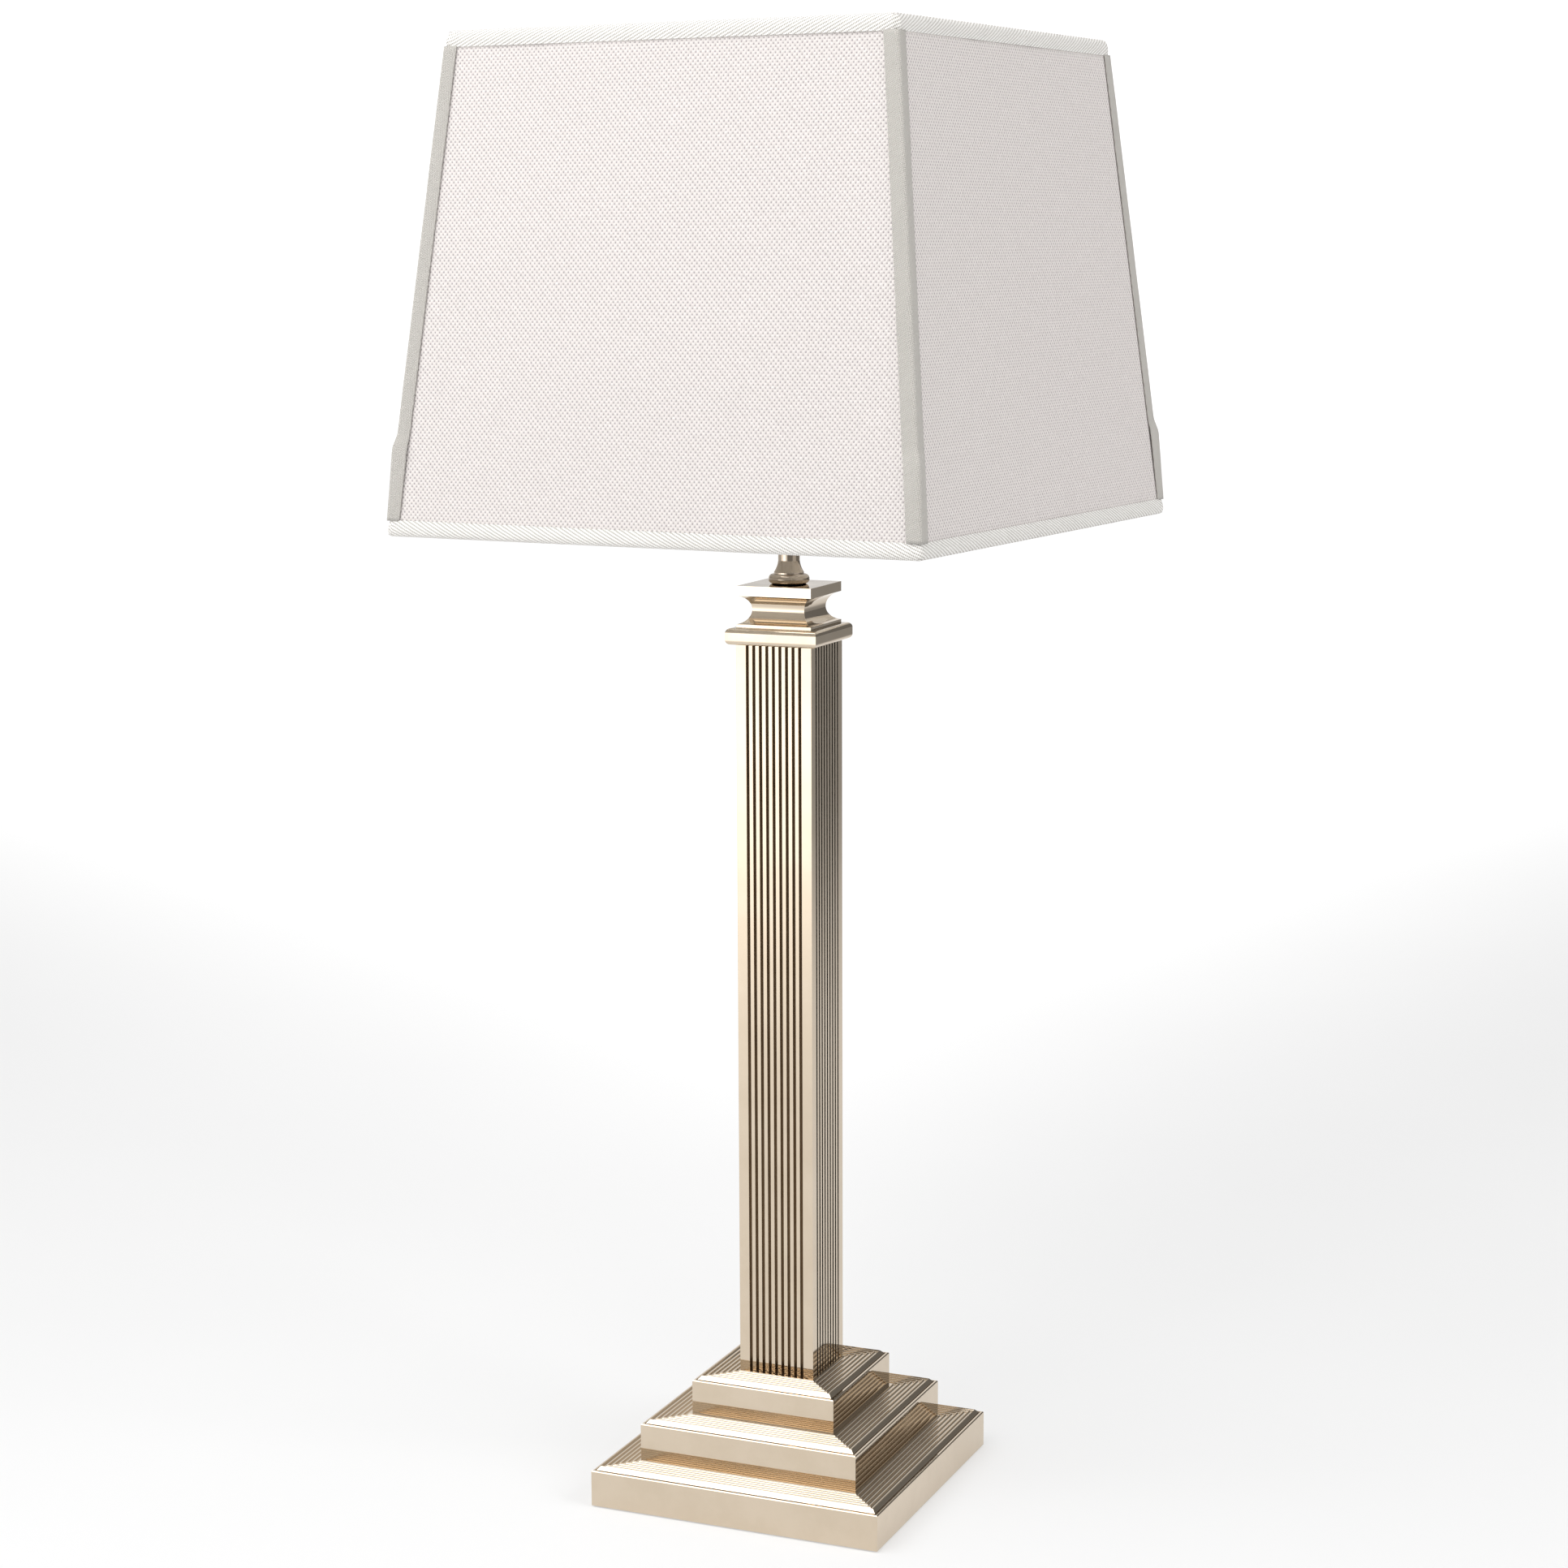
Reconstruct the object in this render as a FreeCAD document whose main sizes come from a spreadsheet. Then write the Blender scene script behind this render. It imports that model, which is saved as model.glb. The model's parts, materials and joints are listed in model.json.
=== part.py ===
import FreeCAD
import Part
import Sketcher
import math
import os

# Column table lamp: a stepped square base with mitred grooves, a fluted square column, a capital with a
# hollow moulding, and a square tapering shade on a ring-fitted wire frame.
# Millimetres, +Z up. The origin is on the floor under the middle of the base. The front is -Y.

TURN = 360.0
QUARTER = 90.0
EIGHTH = 45.0
DIAGONAL = math.sqrt(2.0)
SIDES = 4

# Driving sizes: name, value in millimetres (or degrees, or a count), and what it measures.
SIZES = [
    ("base_side", 164.0, "lower step, side of the square"),
    ("middle_side", 124.0, "middle step, side"),
    ("upper_side", 82.0, "upper step, side"),
    ("lower_height", 22.1, "floor to the lower step's tread"),
    ("middle_height", 22.1, "lower tread to the middle step's tread"),
    ("upper_height", 20.4, "middle tread to the upper step's tread"),
    ("foot_gap", 0.8, "floor to the metal edge of the lower step"),
    ("step_wall", 3.0, "wall of a step"),
    ("step_roof", 4.0, "thickness of a step under its tread"),
    ("step_boss", 22.0, "boss inside a step, diameter"),
    ("lip_drop", 1.9, "tread down to the lip round its edge"),
    ("lip_width", 1.5, "flat lip"),
    ("lip_bevel", 0.5, "bevel of the lip's outer edge"),
    ("rebate_width", 0.6, "narrow groove behind the lip"),
    ("rebate_depth", 0.7, "depth of that groove"),
    ("band_width", 1.8, "sloped band behind the rebate"),
    ("groove_start", 5.1, "edge of a step to the middle of its first groove"),
    ("groove_pitch", 2.62, "spacing of the grooves in a tread"),
    ("groove_width", 2.3, "width of a groove across its top"),
    ("groove_depth", 1.0, "depth of a groove at its middle"),
    ("groove_margin", 1.4, "middle of the last groove to what stands on the tread, at least"),
    ("baize_thickness", 1.5, "baize under the base"),
    ("board_thickness", 1.5, "board that carries the baize"),
    ("pad_clearance", 0.4, "board and baize inside the lower step, each side"),
    ("ballast_clearance", 0.5, "ballast plate inside the lower step, each side"),
    ("nut_recess", 30.0, "round recess under the ballast plate, diameter"),
    ("nut_room", 0.8, "board to the nut above it"),
    ("lead_channel_room", 0.7, "inlet bush in the ballast plate's channel for the lead, each side"),
    ("inlet_level", 9.0, "floor to the middle of the lead inlet"),
    ("inlet_bore", 7.6, "bore of the inlet bush"),
    ("inlet_wall", 1.0, "wall of the inlet bush"),
    ("inlet_flange", 2.2, "flange of the bush beyond its barrel"),
    ("inlet_flange_thickness", 1.6, "thickness of that flange"),
    ("inlet_lip", 0.5, "snap lip of the bush beyond its barrel"),
    ("inlet_lip_length", 1.5, "length of that lip"),
    ("inlet_clearance", 0.2, "bush in its hole, on the radius"),
    ("rod_diameter", 10.0, "threaded tube, outside"),
    ("rod_bore", 7.0, "threaded tube, inside"),
    ("rod_hole_clearance", 0.2, "pieces round the threaded tube, on the radius"),
    ("thread_clearance", 0.05, "nuts round the threaded tube, on the radius"),
    ("rod_start", 3.4, "floor to the lower end of the threaded tube"),
    ("earth_tag_thickness", 0.8, "earth tag"),
    ("earth_tag_diameter", 20.0, "ring of the earth tag"),
    ("earth_tag_reach", 23.0, "middle of the tag to the end of its tongue"),
    ("earth_tag_tongue", 6.0, "width of the tongue"),
    ("washer_diameter", 24.0, "plain washer"),
    ("washer_thickness", 1.6, "plain washer"),
    ("spring_washer_diameter", 16.4, "spring washer"),
    ("spring_washer_thickness", 2.0, "spring washer"),
    ("spring_washer_gap", 2.0, "cut in the spring washer"),
    ("base_nut_flats", 17.0, "hexagon nut, across flats"),
    ("base_nut_height", 4.8, "hexagon nut"),
    ("column_side", 42.6, "column, side of the square"),
    ("column_length", 395.8, "column"),
    ("column_wall", 4.5, "column wall before fluting"),
    ("flute_count", 9, "flutes on each face"),
    ("flute_pitch", 3.7, "spacing of the flutes"),
    ("flute_width", 1.7, "width of a flute"),
    ("flute_depth", 2.4, "depth of a flute"),
    ("plug_height", 12.0, "plug in each end of the column"),
    ("plug_clearance", 0.2, "plug in the column's bore, each side"),
    ("collar_side", 51.2, "bullnose collar, side"),
    ("collar_height", 8.8, "bullnose collar"),
    ("collar_round", 2.6, "rounding of the collar's edges"),
    ("capital_side", 42.0, "abacus and fillet, side"),
    ("capital_fillet", 1.8, "thin fillet under the hollow"),
    ("hollow_height", 14.9, "height of the hollow"),
    ("hollow_depth", 6.3, "depth of the hollow"),
    ("abacus_height", 5.2, "plain slab on top"),
    ("flange_diameter", 21.8, "round flange of the neck"),
    ("flange_height", 5.3, "round flange of the neck"),
    ("bell_diameter", 16.0, "foot of the neck's bell"),
    ("bell_height", 6.9, "neck's bell"),
    ("bell_foot", 0.8, "straight foot of the bell"),
    ("bell_curve", 14.0, "radius of the bell's flare"),
    ("sleeve_wall", 0.55, "wall of the neck's tube"),
    ("sleeve_length", 37.7, "tube of the neck"),
    ("locknut_flats", 14.0, "locknut under the lampholder, across flats"),
    ("locknut_height", 2.5, "locknut"),
    ("cap_diameter", 40.5, "lampholder cap"),
    ("cap_foot", 24.0, "flat underside of the cap, diameter"),
    ("cap_height", 18.5, "lampholder cap"),
    ("cap_rim", 7.0, "straight part at the top of the cap"),
    ("cap_wall", 1.2, "wall of the cap"),
    ("cap_floor", 1.6, "floor of the cap"),
    ("cap_boss", 15.0, "threaded boss inside the cap, diameter"),
    ("cap_boss_height", 9.5, "top of that boss above the underside"),
    ("rod_grip", 8.0, "threaded tube above the cap's underside"),
    ("insulator_clearance", 0.5, "lampholder insulator in the cap, on the radius"),
    ("insulator_height", 13.0, "lampholder insulator"),
    ("terminal_width", 5.0, "terminal block, across"),
    ("terminal_length", 5.5, "terminal block, outwards"),
    ("terminal_height", 4.0, "terminal block"),
    ("terminal_offset", 11.0, "axis to the middle of a terminal block"),
    ("contact_strip", 0.5, "thickness of the centre contact"),
    ("contact_rise", 2.4, "rise of the centre contact"),
    ("contact_reach", 6.0, "half length of the centre contact"),
    ("contact_width", 6.0, "width of the centre contact"),
    ("shell_clearance", 0.7, "bulb's screw cap in the lampholder's screw shell, on the radius"),
    ("shell_wall", 0.6, "wall of the screw shell"),
    ("shell_height", 23.0, "screw shell"),
    ("shell_foot", 2.4, "foot of the screw shell, outwards"),
    ("holder_step", 0.35, "cap's rim beyond the threaded outer sleeve"),
    ("holder_wall", 1.3, "wall of the sleeve"),
    ("holder_height", 30.0, "outer sleeve"),
    ("mouth_clearance", 1.0, "screw shell in the sleeve's mouth, on the radius"),
    ("ring_inset", 1.0, "rim of the fitting ring beyond the shade rings"),
    ("ring_wall", 2.8, "hub of a shade ring, wall"),
    ("ring_flange", 1.6, "flange of a shade ring"),
    ("lower_ring_height", 3.6, "lower shade ring"),
    ("upper_ring_height", 7.0, "upper shade ring"),
    ("ring_seat_drop", 0.5, "gap between the cap's rim and the lower shade ring"),
    ("ring_fixed_clearance", 0.1, "lower ring on the sleeve, on the radius"),
    ("ring_free_clearance", 0.3, "upper ring on the sleeve, on the radius"),
    ("ring_notch", 6.0, "finger notches in the upper ring, diameter"),
    ("ring_notch_count", 8, "finger notches"),
    ("switch_level", 14.0, "underside of the cap to the switch bar"),
    ("switch_bar", 4.0, "switch bar, diameter"),
    ("switch_fit", 0.08, "switch bar in its holes, on the radius"),
    ("switch_button", 6.4, "ends of the switch bar, diameter"),
    ("switch_button_length", 3.5, "ends of the switch bar"),
    ("switch_button_bevel", 0.8, "bevel of those ends"),
    ("switch_travel", 4.0, "travel of the switch bar"),
    ("switch_gap", 0.5, "pressed button to the cap"),
    ("bulb_seat", 0.1, "centre contact to the bulb's tip"),
    ("bulb_length", 105.0, "bulb, over all"),
    ("bulb_diameter", 60.0, "bulb, widest"),
    ("bulb_tip_diameter", 9.2, "contact at the bulb's end"),
    ("bulb_tip_height", 1.8, "that contact"),
    ("bulb_tip_bevel", 0.6, "bevel of that contact"),
    ("bulb_cap_diameter", 26.0, "screw cap"),
    ("bulb_cap_bottom", 6.0, "tip to the lower edge of the screw cap"),
    ("bulb_cap_top", 27.0, "tip to the upper edge of the screw cap"),
    ("bulb_cap_wall", 0.6, "wall of the screw cap"),
    ("bulb_insulator_top", 24.0, "bulb insulator where it meets the screw cap, diameter"),
    ("bulb_shoulder", 4.0, "straight part of the bulb's housing above the screw cap"),
    ("shade_bottom_side", 300.5, "shade over its bindings, bottom"),
    ("shade_top_side", 249.0, "shade over its bindings, top"),
    ("shade_height", 249.5, "shade"),
    ("shade_drop", 45.3, "fitting ring above the bottom rim of the shade"),
    ("shade_turn", -5.4, "turn of the shade on the lampholder, degrees"),
    ("panel_thickness", 1.0, "laminated fabric panel"),
    ("panel_gap", 0.2, "panel edge to the next panel's inner face"),
    ("tape_thickness", 0.7, "binding tape"),
    ("tape_width", 8.4, "binding seen on the outside"),
    ("corner_tape_width", 7.4, "corner binding on each panel"),
    ("tape_gap", 0.1, "binding to what it covers, and to the next binding"),
    ("wire_diameter", 3.0, "wires of the shade's frame"),
    ("wire_gap", 0.1, "wire to the panel and to the next wire"),
    ("fitting_clearance", 1.1, "fitting ring round the sleeve, on the radius"),
    ("fitting_width", 7.0, "fitting ring, bore to rim"),
    ("fitting_thickness", 2.0, "fitting ring"),
    ("fitting_seat", 0.1, "fitting ring to each shade ring"),
]

doc = FreeCAD.newDocument("column_table_lamp")
sheet = doc.addObject("Spreadsheet::Sheet", "Sizes")
for row, (alias, number, meaning) in enumerate(SIZES, start=1):
    sheet.set(f"A{row}", alias)
    sheet.set(f"B{row}", repr(number))
    sheet.set(f"C{row}", meaning)
    sheet.setAlias(f"B{row}", alias)
doc.recompute()


class Size:
    """A number together with the expression that works it out from the sheet."""

    def __init__(self, number, text):
        self.number = number
        self.text = text

    def __add__(self, other):
        other = as_size(other)
        return Size(self.number + other.number, f"({self.text} + {other.text})")

    def __sub__(self, other):
        other = as_size(other)
        return Size(self.number - other.number, f"({self.text} - {other.text})")

    def __mul__(self, other):
        other = as_size(other)
        return Size(self.number * other.number, f"({self.text} * {other.text})")

    def __truediv__(self, other):
        other = as_size(other)
        return Size(self.number / other.number, f"({self.text} / {other.text})")

    def __rmul__(self, other):
        return self * other

    def __radd__(self, other):
        return self + other

    def __rsub__(self, other):
        return as_size(other) - self

    def __neg__(self):
        return as_size(0) - self


def as_size(value):
    """A plain number as a Size; a Size as it is."""
    if isinstance(value, Size):
        return value
    return Size(float(value), repr(float(value)))


def size(alias):
    """The driving size of that name."""
    return Size(float(sheet.get(alias)), f"Sizes.{alias}")


def count(alias):
    """A driving size that counts pieces or features."""
    return int(sheet.get(alias))


def root(value):
    """Square root of a Size."""
    return Size(math.sqrt(value.number), f"sqrt({value.text})")


def bind(thing, prop, value):
    """Ties a property to the sheet."""
    thing.setExpression(prop, as_size(value).text)


# Levels, from the floor up
middle_level = size("lower_height")
upper_level = middle_level + size("middle_height")
column_level = upper_level + size("upper_height")
collar_level = column_level + size("column_length")
capital_level = collar_level + size("collar_height")
capital_height = size("capital_fillet") + size("hollow_height") + size("abacus_height")
flange_level = capital_level + capital_height
bell_level = flange_level + size("flange_height")
sleeve_level = bell_level + size("bell_height")
locknut_level = sleeve_level + size("sleeve_length")
holder_level = locknut_level + size("locknut_height")
insulator_level = holder_level + size("cap_boss_height")
shell_level = insulator_level + size("insulator_height")
sleeve_rim_level = holder_level + size("cap_height")
lower_ring_level = sleeve_rim_level + size("ring_seat_drop")
fitting_level = lower_ring_level + size("lower_ring_height") + size("fitting_seat")
upper_ring_level = fitting_level + size("fitting_thickness") + size("fitting_seat")
bulb_level = shell_level + size("contact_rise") + size("contact_strip") + size("bulb_seat")
arm_level = fitting_level + size("fitting_thickness") / 2
shade_level = arm_level - size("shade_drop")

# Sizes that several pieces share
rod_hole = size("rod_diameter") + 2 * size("rod_hole_clearance")
nut_bore = size("rod_diameter") + 2 * size("thread_clearance")
base_cavity = size("base_side") - 2 * size("step_wall")
pad_side = base_cavity - 2 * size("pad_clearance")
ballast_level = size("baize_thickness") + size("board_thickness")
ballast_height = size("lower_height") - size("step_roof") - ballast_level
washer_stack = (size("earth_tag_thickness") + size("washer_thickness") + size("spring_washer_thickness")
                + size("base_nut_height"))
recess_depth = size("nut_room") + washer_stack
recess_roof = ballast_level + recess_depth
column_bore = size("column_side") - 2 * size("column_wall")
plug_side = column_bore - 2 * size("plug_clearance")
switch_hole = size("switch_bar") + 2 * size("switch_fit")
inlet_barrel = size("inlet_bore") + 2 * size("inlet_wall")
inlet_hole = inlet_barrel + 2 * size("inlet_clearance")
inlet_half = inlet_barrel / 2 + size("inlet_lip") + size("lead_channel_room")
neck_diameter = rod_hole + 2 * size("sleeve_wall")
cap_inner = size("cap_diameter") - 2 * size("cap_wall")
holder_diameter = size("cap_diameter") - 2 * size("holder_step")
shell_bore = size("bulb_cap_diameter") + 2 * size("shell_clearance")
holder_mouth = shell_bore + 2 * (size("shell_wall") + size("mouth_clearance"))
fitting_bore = holder_diameter + 2 * size("fitting_clearance")
fitting_diameter = fitting_bore + 2 * size("fitting_width")
ring_diameter = fitting_diameter - 2 * size("ring_inset")


def new_body(label, level=0.0, turn=None, across=None, along=None):
    """A body named after its piece, lifted to its level, moved across or along, and turned about Z."""
    body = doc.addObject("PartDesign::Body", label)
    body.Label = label
    if turn is not None:
        body.Placement.Rotation = FreeCAD.Rotation(FreeCAD.Vector(0, 0, 1), 1.0)
        body.setExpression("Placement.Rotation.Angle", f"{as_size(turn).text} * 1 deg")
    bind(body, "Placement.Base.z", level)
    if across is not None:
        bind(body, "Placement.Base.x", across)
    if along is not None:
        bind(body, "Placement.Base.y", along)
    return body


def new_sketch(body, role="XY_Plane", offset=0.0):
    """A sketch on one of the body's own planes, moved along that plane's normal."""
    plane = next(item for item in body.Origin.OriginFeatures if item.Role == role)
    sketch = body.newObject("Sketcher::SketchObject", "Sketch")
    sketch.AttachmentSupport = [(plane, "")]
    sketch.MapMode = "FlatFace"
    bind(sketch, "AttachmentOffset.Base.z", offset)
    return sketch


def fix_point(sketch, edge, end, x, y):
    """Holds one end of an edge at x, y."""
    for direction, axis, value in (("DistanceX", -2, as_size(x)), ("DistanceY", -1, as_size(y))):
        if value.text == "0.0":
            sketch.addConstraint(Sketcher.Constraint("PointOnObject", edge, end, axis))
        else:
            index = sketch.addConstraint(Sketcher.Constraint(direction, edge, end, value.number))
            sketch.setExpression(f"Constraints[{index}]", value.text)


def vector(point):
    return FreeCAD.Vector(as_size(point[0]).number, as_size(point[1]).number, 0)


def arc_between(start, end, radius, side):
    """The shorter arc from start to end; its centre is to the left of the chord for side 1, right for -1."""
    chord = end - start
    half = chord.Length / 2
    normal = FreeCAD.Vector(-chord.y, chord.x, 0).normalize()
    centre = start + chord / 2 + normal * side * math.sqrt(radius * radius - half * half)
    outward = (start + chord / 2 - centre).normalize()
    return Part.Arc(start, centre + outward * radius, end)


def end_at(sketch, edge, point):
    """Which end of an edge, 1 or 2, lies at the point."""
    near = sketch.getPoint(edge, 2).distanceToPoint(vector(point)) < 1e-6
    return 2 if near else 1


def outline(sketch, points):
    """A closed outline. A point is (x, y) after a straight edge, or (x, y, radius, side) after an arc."""
    first = sketch.GeometryCount
    for index, point in enumerate(points):
        start = vector(points[index - 1])
        if len(point) == 2:
            sketch.addGeometry(Part.LineSegment(start, vector(point)), False)
        else:
            radius = as_size(point[2]).number
            sketch.addGeometry(arc_between(start, vector(point), radius, point[3]), False)
    for index, point in enumerate(points):
        edge = first + index
        following = first + (index + 1) % len(points)
        end = end_at(sketch, edge, point)
        start = end_at(sketch, following, point)
        sketch.addConstraint(Sketcher.Constraint("Coincident", edge, end, following, start))
        fix_point(sketch, edge, end, point[0], point[1])
        if len(point) == 4:
            place = sketch.addConstraint(Sketcher.Constraint("Radius", edge, as_size(point[2]).number))
            sketch.setExpression(f"Constraints[{place}]", as_size(point[2]).text)


def rectangle(sketch, left, right, bottom, top):
    outline(sketch, [(left, bottom), (right, bottom), (right, top), (left, top)])


def square(sketch, side):
    """A square about the origin."""
    half = side / 2
    rectangle(sketch, -half, half, -half, half)


def circle(sketch, diameter, x=0.0, y=0.0):
    edge = sketch.addGeometry(Part.Circle(vector((x, y)), FreeCAD.Vector(0, 0, 1), diameter.number / 2), False)
    fix_point(sketch, edge, 3, x, y)
    index = sketch.addConstraint(Sketcher.Constraint("Diameter", edge, diameter.number))
    sketch.setExpression(f"Constraints[{index}]", diameter.text)


def hexagon(sketch, flats):
    """A hexagon about the origin, two of its flats square to Y."""
    half = flats / 2
    corner = flats / math.sqrt(3.0)
    outline(sketch, [(corner, 0.0), (corner / 2, half), (-corner / 2, half),
                     (-corner, 0.0), (-corner / 2, -half), (corner / 2, -half)])


def pad(body, sketch, length, centred=False):
    feature = body.newObject("PartDesign::Pad", "Pad")
    feature.Profile = sketch
    feature.Midplane = centred
    bind(feature, "Length", length)
    return feature


def pocket(body, sketch, depth=None, upwards=False, centred=False):
    """Cuts the sketch into the body: down from its plane, or up, or both ways, or right through."""
    feature = body.newObject("PartDesign::Pocket", "Pocket")
    feature.Profile = sketch
    feature.Reversed = upwards
    feature.Midplane = centred
    if depth is None:
        feature.Type = "ThroughAll"
    else:
        bind(feature, "Length", depth)
    return feature


def turned(body, points, cut=False):
    """Turns an outline of (radius, height) points about Z, to add it or to cut it away."""
    sketch = new_sketch(body, "XZ_Plane")
    outline(sketch, points)
    kind = "Groove" if cut else "Revolution"
    feature = body.newObject(f"PartDesign::{kind}", kind)
    feature.Profile = sketch
    feature.ReferenceAxis = (sketch, ["V_Axis"])
    feature.Angle = TURN
    return feature


def loft(body, lower, upper, cut=False):
    """Joins two sketches with straight sides, to add the shape or to cut it away."""
    kind = "SubtractiveLoft" if cut else "AdditiveLoft"
    feature = body.newObject(f"PartDesign::{kind}", kind)
    feature.Profile = lower
    feature.Sections = [upper]
    feature.Ruled = True
    return feature


def taper(body, lower_side, lower_at, upper_side, upper_at, cut=False):
    """A square taper between two levels."""
    lower = new_sketch(body, offset=lower_at)
    square(lower, lower_side)
    upper = new_sketch(body, offset=upper_at)
    square(upper, upper_side)
    return loft(body, lower, upper, cut)


def through_hole(body, diameter):
    """A round hole on the body's Z axis, right through it."""
    sketch = new_sketch(body)
    circle(sketch, diameter)
    return pocket(body, sketch, upwards=True)


def cross_hole(body, diameter, level):
    """A round hole along X, right through the body."""
    sketch = new_sketch(body, "YZ_Plane")
    circle(sketch, diameter, 0.0, level)
    feature = pocket(body, sketch, centred=True)
    return feature


def round_pattern(body, feature, occurrences):
    """Repeats a feature about the body's Z axis."""
    pattern = body.newObject("PartDesign::PolarPattern", "PolarPattern")
    pattern.Originals = [feature]
    axis = next(item for item in body.Origin.OriginFeatures if item.Role == "Z_Axis")
    pattern.Axis = (axis, [""])
    pattern.Angle = TURN
    pattern.Occurrences = occurrences
    body.Tip = pattern
    return pattern


def slab(label, side, height, level, hole=None):
    """A square slab, with a round hole if it is given one."""
    body = new_body(label, level)
    sketch = new_sketch(body)
    square(sketch, side)
    if hole is not None:
        circle(sketch, hole)
    pad(body, sketch, height)
    return body


def disc(label, diameter, hole, height, level, turn=None):
    """A round disc with a round hole."""
    body = new_body(label, level, turn)
    sketch = new_sketch(body)
    circle(sketch, diameter)
    circle(sketch, hole)
    pad(body, sketch, height)
    return body


def nut(label, flats, height, level):
    body = new_body(label, level)
    sketch = new_sketch(body)
    hexagon(sketch, flats)
    circle(sketch, nut_bore)
    pad(body, sketch, height)
    return body


# ---------------------------------------------------------------- base

def groove_count(tread):
    """How many grooves fit a tread of that width."""
    room = tread - size("groove_start") - size("groove_margin")
    return int(room.number / size("groove_pitch").number) + 1


def tread_groove(body, height, half):
    """Round-bottomed groove that runs round the tread with mitred corners, half that distance from the axis."""
    path = new_sketch(body, offset=height)
    outline(path, [(0.0, -half), (half, -half), (half, half), (-half, half), (-half, -half)])
    section = new_sketch(body, "YZ_Plane")
    depth = size("groove_depth")
    reach = size("groove_width") / 2
    radius = (reach * reach + depth * depth) / (2 * depth)
    outline(section, [(-half - reach, height), (-half, height - depth, radius, 1),
                      (-half + reach, height, radius, 1)])
    groove = body.newObject("PartDesign::SubtractivePipe", "SubtractivePipe")
    groove.Profile = section
    groove.Spine = path
    groove.Transition = "Right corner"


def step(label, side, next_side, level, height, with_boss):
    """One hollow square step: bevelled lip, rebate, sloped band, and a tread with round grooves in it."""
    body = new_body(label, level)
    lip_level = height - size("lip_drop")
    block = new_sketch(body)
    square(block, side)
    base = pad(body, block, lip_level)
    doc.recompute()
    rim = [f"Edge{index}" for index, edge in enumerate(base.Shape.Edges, start=1)
           if edge.BoundBox.ZMin > lip_level.number - 1e-6]
    bevel = body.newObject("PartDesign::Chamfer", "Chamfer")
    bevel.Base = (base, rim)
    bind(bevel, "Size", size("lip_bevel"))
    band_side = side - 2 * (size("lip_width") + size("rebate_width"))
    taper(body, band_side, lip_level, band_side - 2 * size("band_width"), height)
    rebate = new_sketch(body, offset=lip_level)
    square(rebate, side - 2 * size("lip_width"))
    square(rebate, band_side)
    pocket(body, rebate, size("rebate_depth"))
    for index in range(groove_count((side - next_side) / 2)):
        tread_groove(body, height, side / 2 - size("groove_start") - index * size("groove_pitch"))
    cavity = new_sketch(body)
    square(cavity, side - 2 * size("step_wall"))
    if with_boss:
        circle(cavity, size("step_boss"))
    pocket(body, cavity, height - size("step_roof"), upwards=True)
    through_hole(body, rod_hole)
    return body


def lower_step():
    """The lowest step, with a hole in its back wall for the lead."""
    body = step("lower_step", size("base_side"), size("middle_side"), size("foot_gap"),
                size("lower_height") - size("foot_gap"), False)
    back = new_sketch(body, "XZ_Plane", -size("base_side") / 2)
    circle(back, inlet_hole, 0.0, size("inlet_level") - size("foot_gap"))
    pocket(body, back, size("step_wall") + size("ballast_clearance") / 2, upwards=True)


def ballast_plate():
    """Steel plate that fills the lower step, recessed below for the nut and channelled for the lead."""
    side = base_cavity - 2 * size("ballast_clearance")
    body = slab("ballast_plate", side, ballast_height, ballast_level)
    recess = new_sketch(body)
    circle(recess, size("nut_recess"))
    pocket(body, recess, recess_depth, upwards=True)
    channel = new_sketch(body)
    rectangle(channel, -inlet_half, inlet_half, 0.0, side / 2)
    pocket(body, channel, size("inlet_level") + inlet_half - ballast_level, upwards=True)
    through_hole(body, rod_hole)


def lead_inlet():
    """Flanged bush in the back wall of the lower step. Its own Z axis points out of the base."""
    body = new_body("lead_inlet", size("inlet_level"), along=size("base_side") / 2)
    body.Placement.Rotation = FreeCAD.Rotation(FreeCAD.Vector(1, 0, 0), -QUARTER)
    bore = size("inlet_bore") / 2
    barrel = inlet_barrel / 2
    wall = size("step_wall")
    lip_end = wall + size("inlet_lip_length")
    turned(body, [
        (bore, -lip_end),
        (barrel, -lip_end),
        (barrel + size("inlet_lip"), -wall - size("inlet_clearance")),
        (barrel, -wall - size("inlet_clearance")),
        (barrel, 0.0),
        (barrel + size("inlet_flange"), 0.0),
        (barrel + size("inlet_flange"), size("inlet_flange_thickness") / 2),
        (barrel + size("inlet_flange") / 2, size("inlet_flange_thickness")),
        (bore, size("inlet_flange_thickness")),
    ])


def earth_tag():
    """Ring tag on the threaded tube, with a tongue into the lead channel."""
    body = new_body("earth_tag", recess_roof - size("earth_tag_thickness"))
    ring = new_sketch(body)
    circle(ring, size("earth_tag_diameter"))
    pad(body, ring, size("earth_tag_thickness"))
    tongue = new_sketch(body)
    half = size("earth_tag_tongue") / 2
    rectangle(tongue, -half, half, 0.0, size("earth_tag_reach"))
    pad(body, tongue, size("earth_tag_thickness"))
    through_hole(body, rod_hole)


def spring_washer(level):
    """Split ring under the plain washer."""
    body = disc("spring_washer", size("spring_washer_diameter"), rod_hole, size("spring_washer_thickness"), level)
    gap = new_sketch(body)
    half = size("spring_washer_gap") / 2
    rectangle(gap, -half, half, 0.0, size("spring_washer_diameter"))
    pocket(body, gap, upwards=True)


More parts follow.
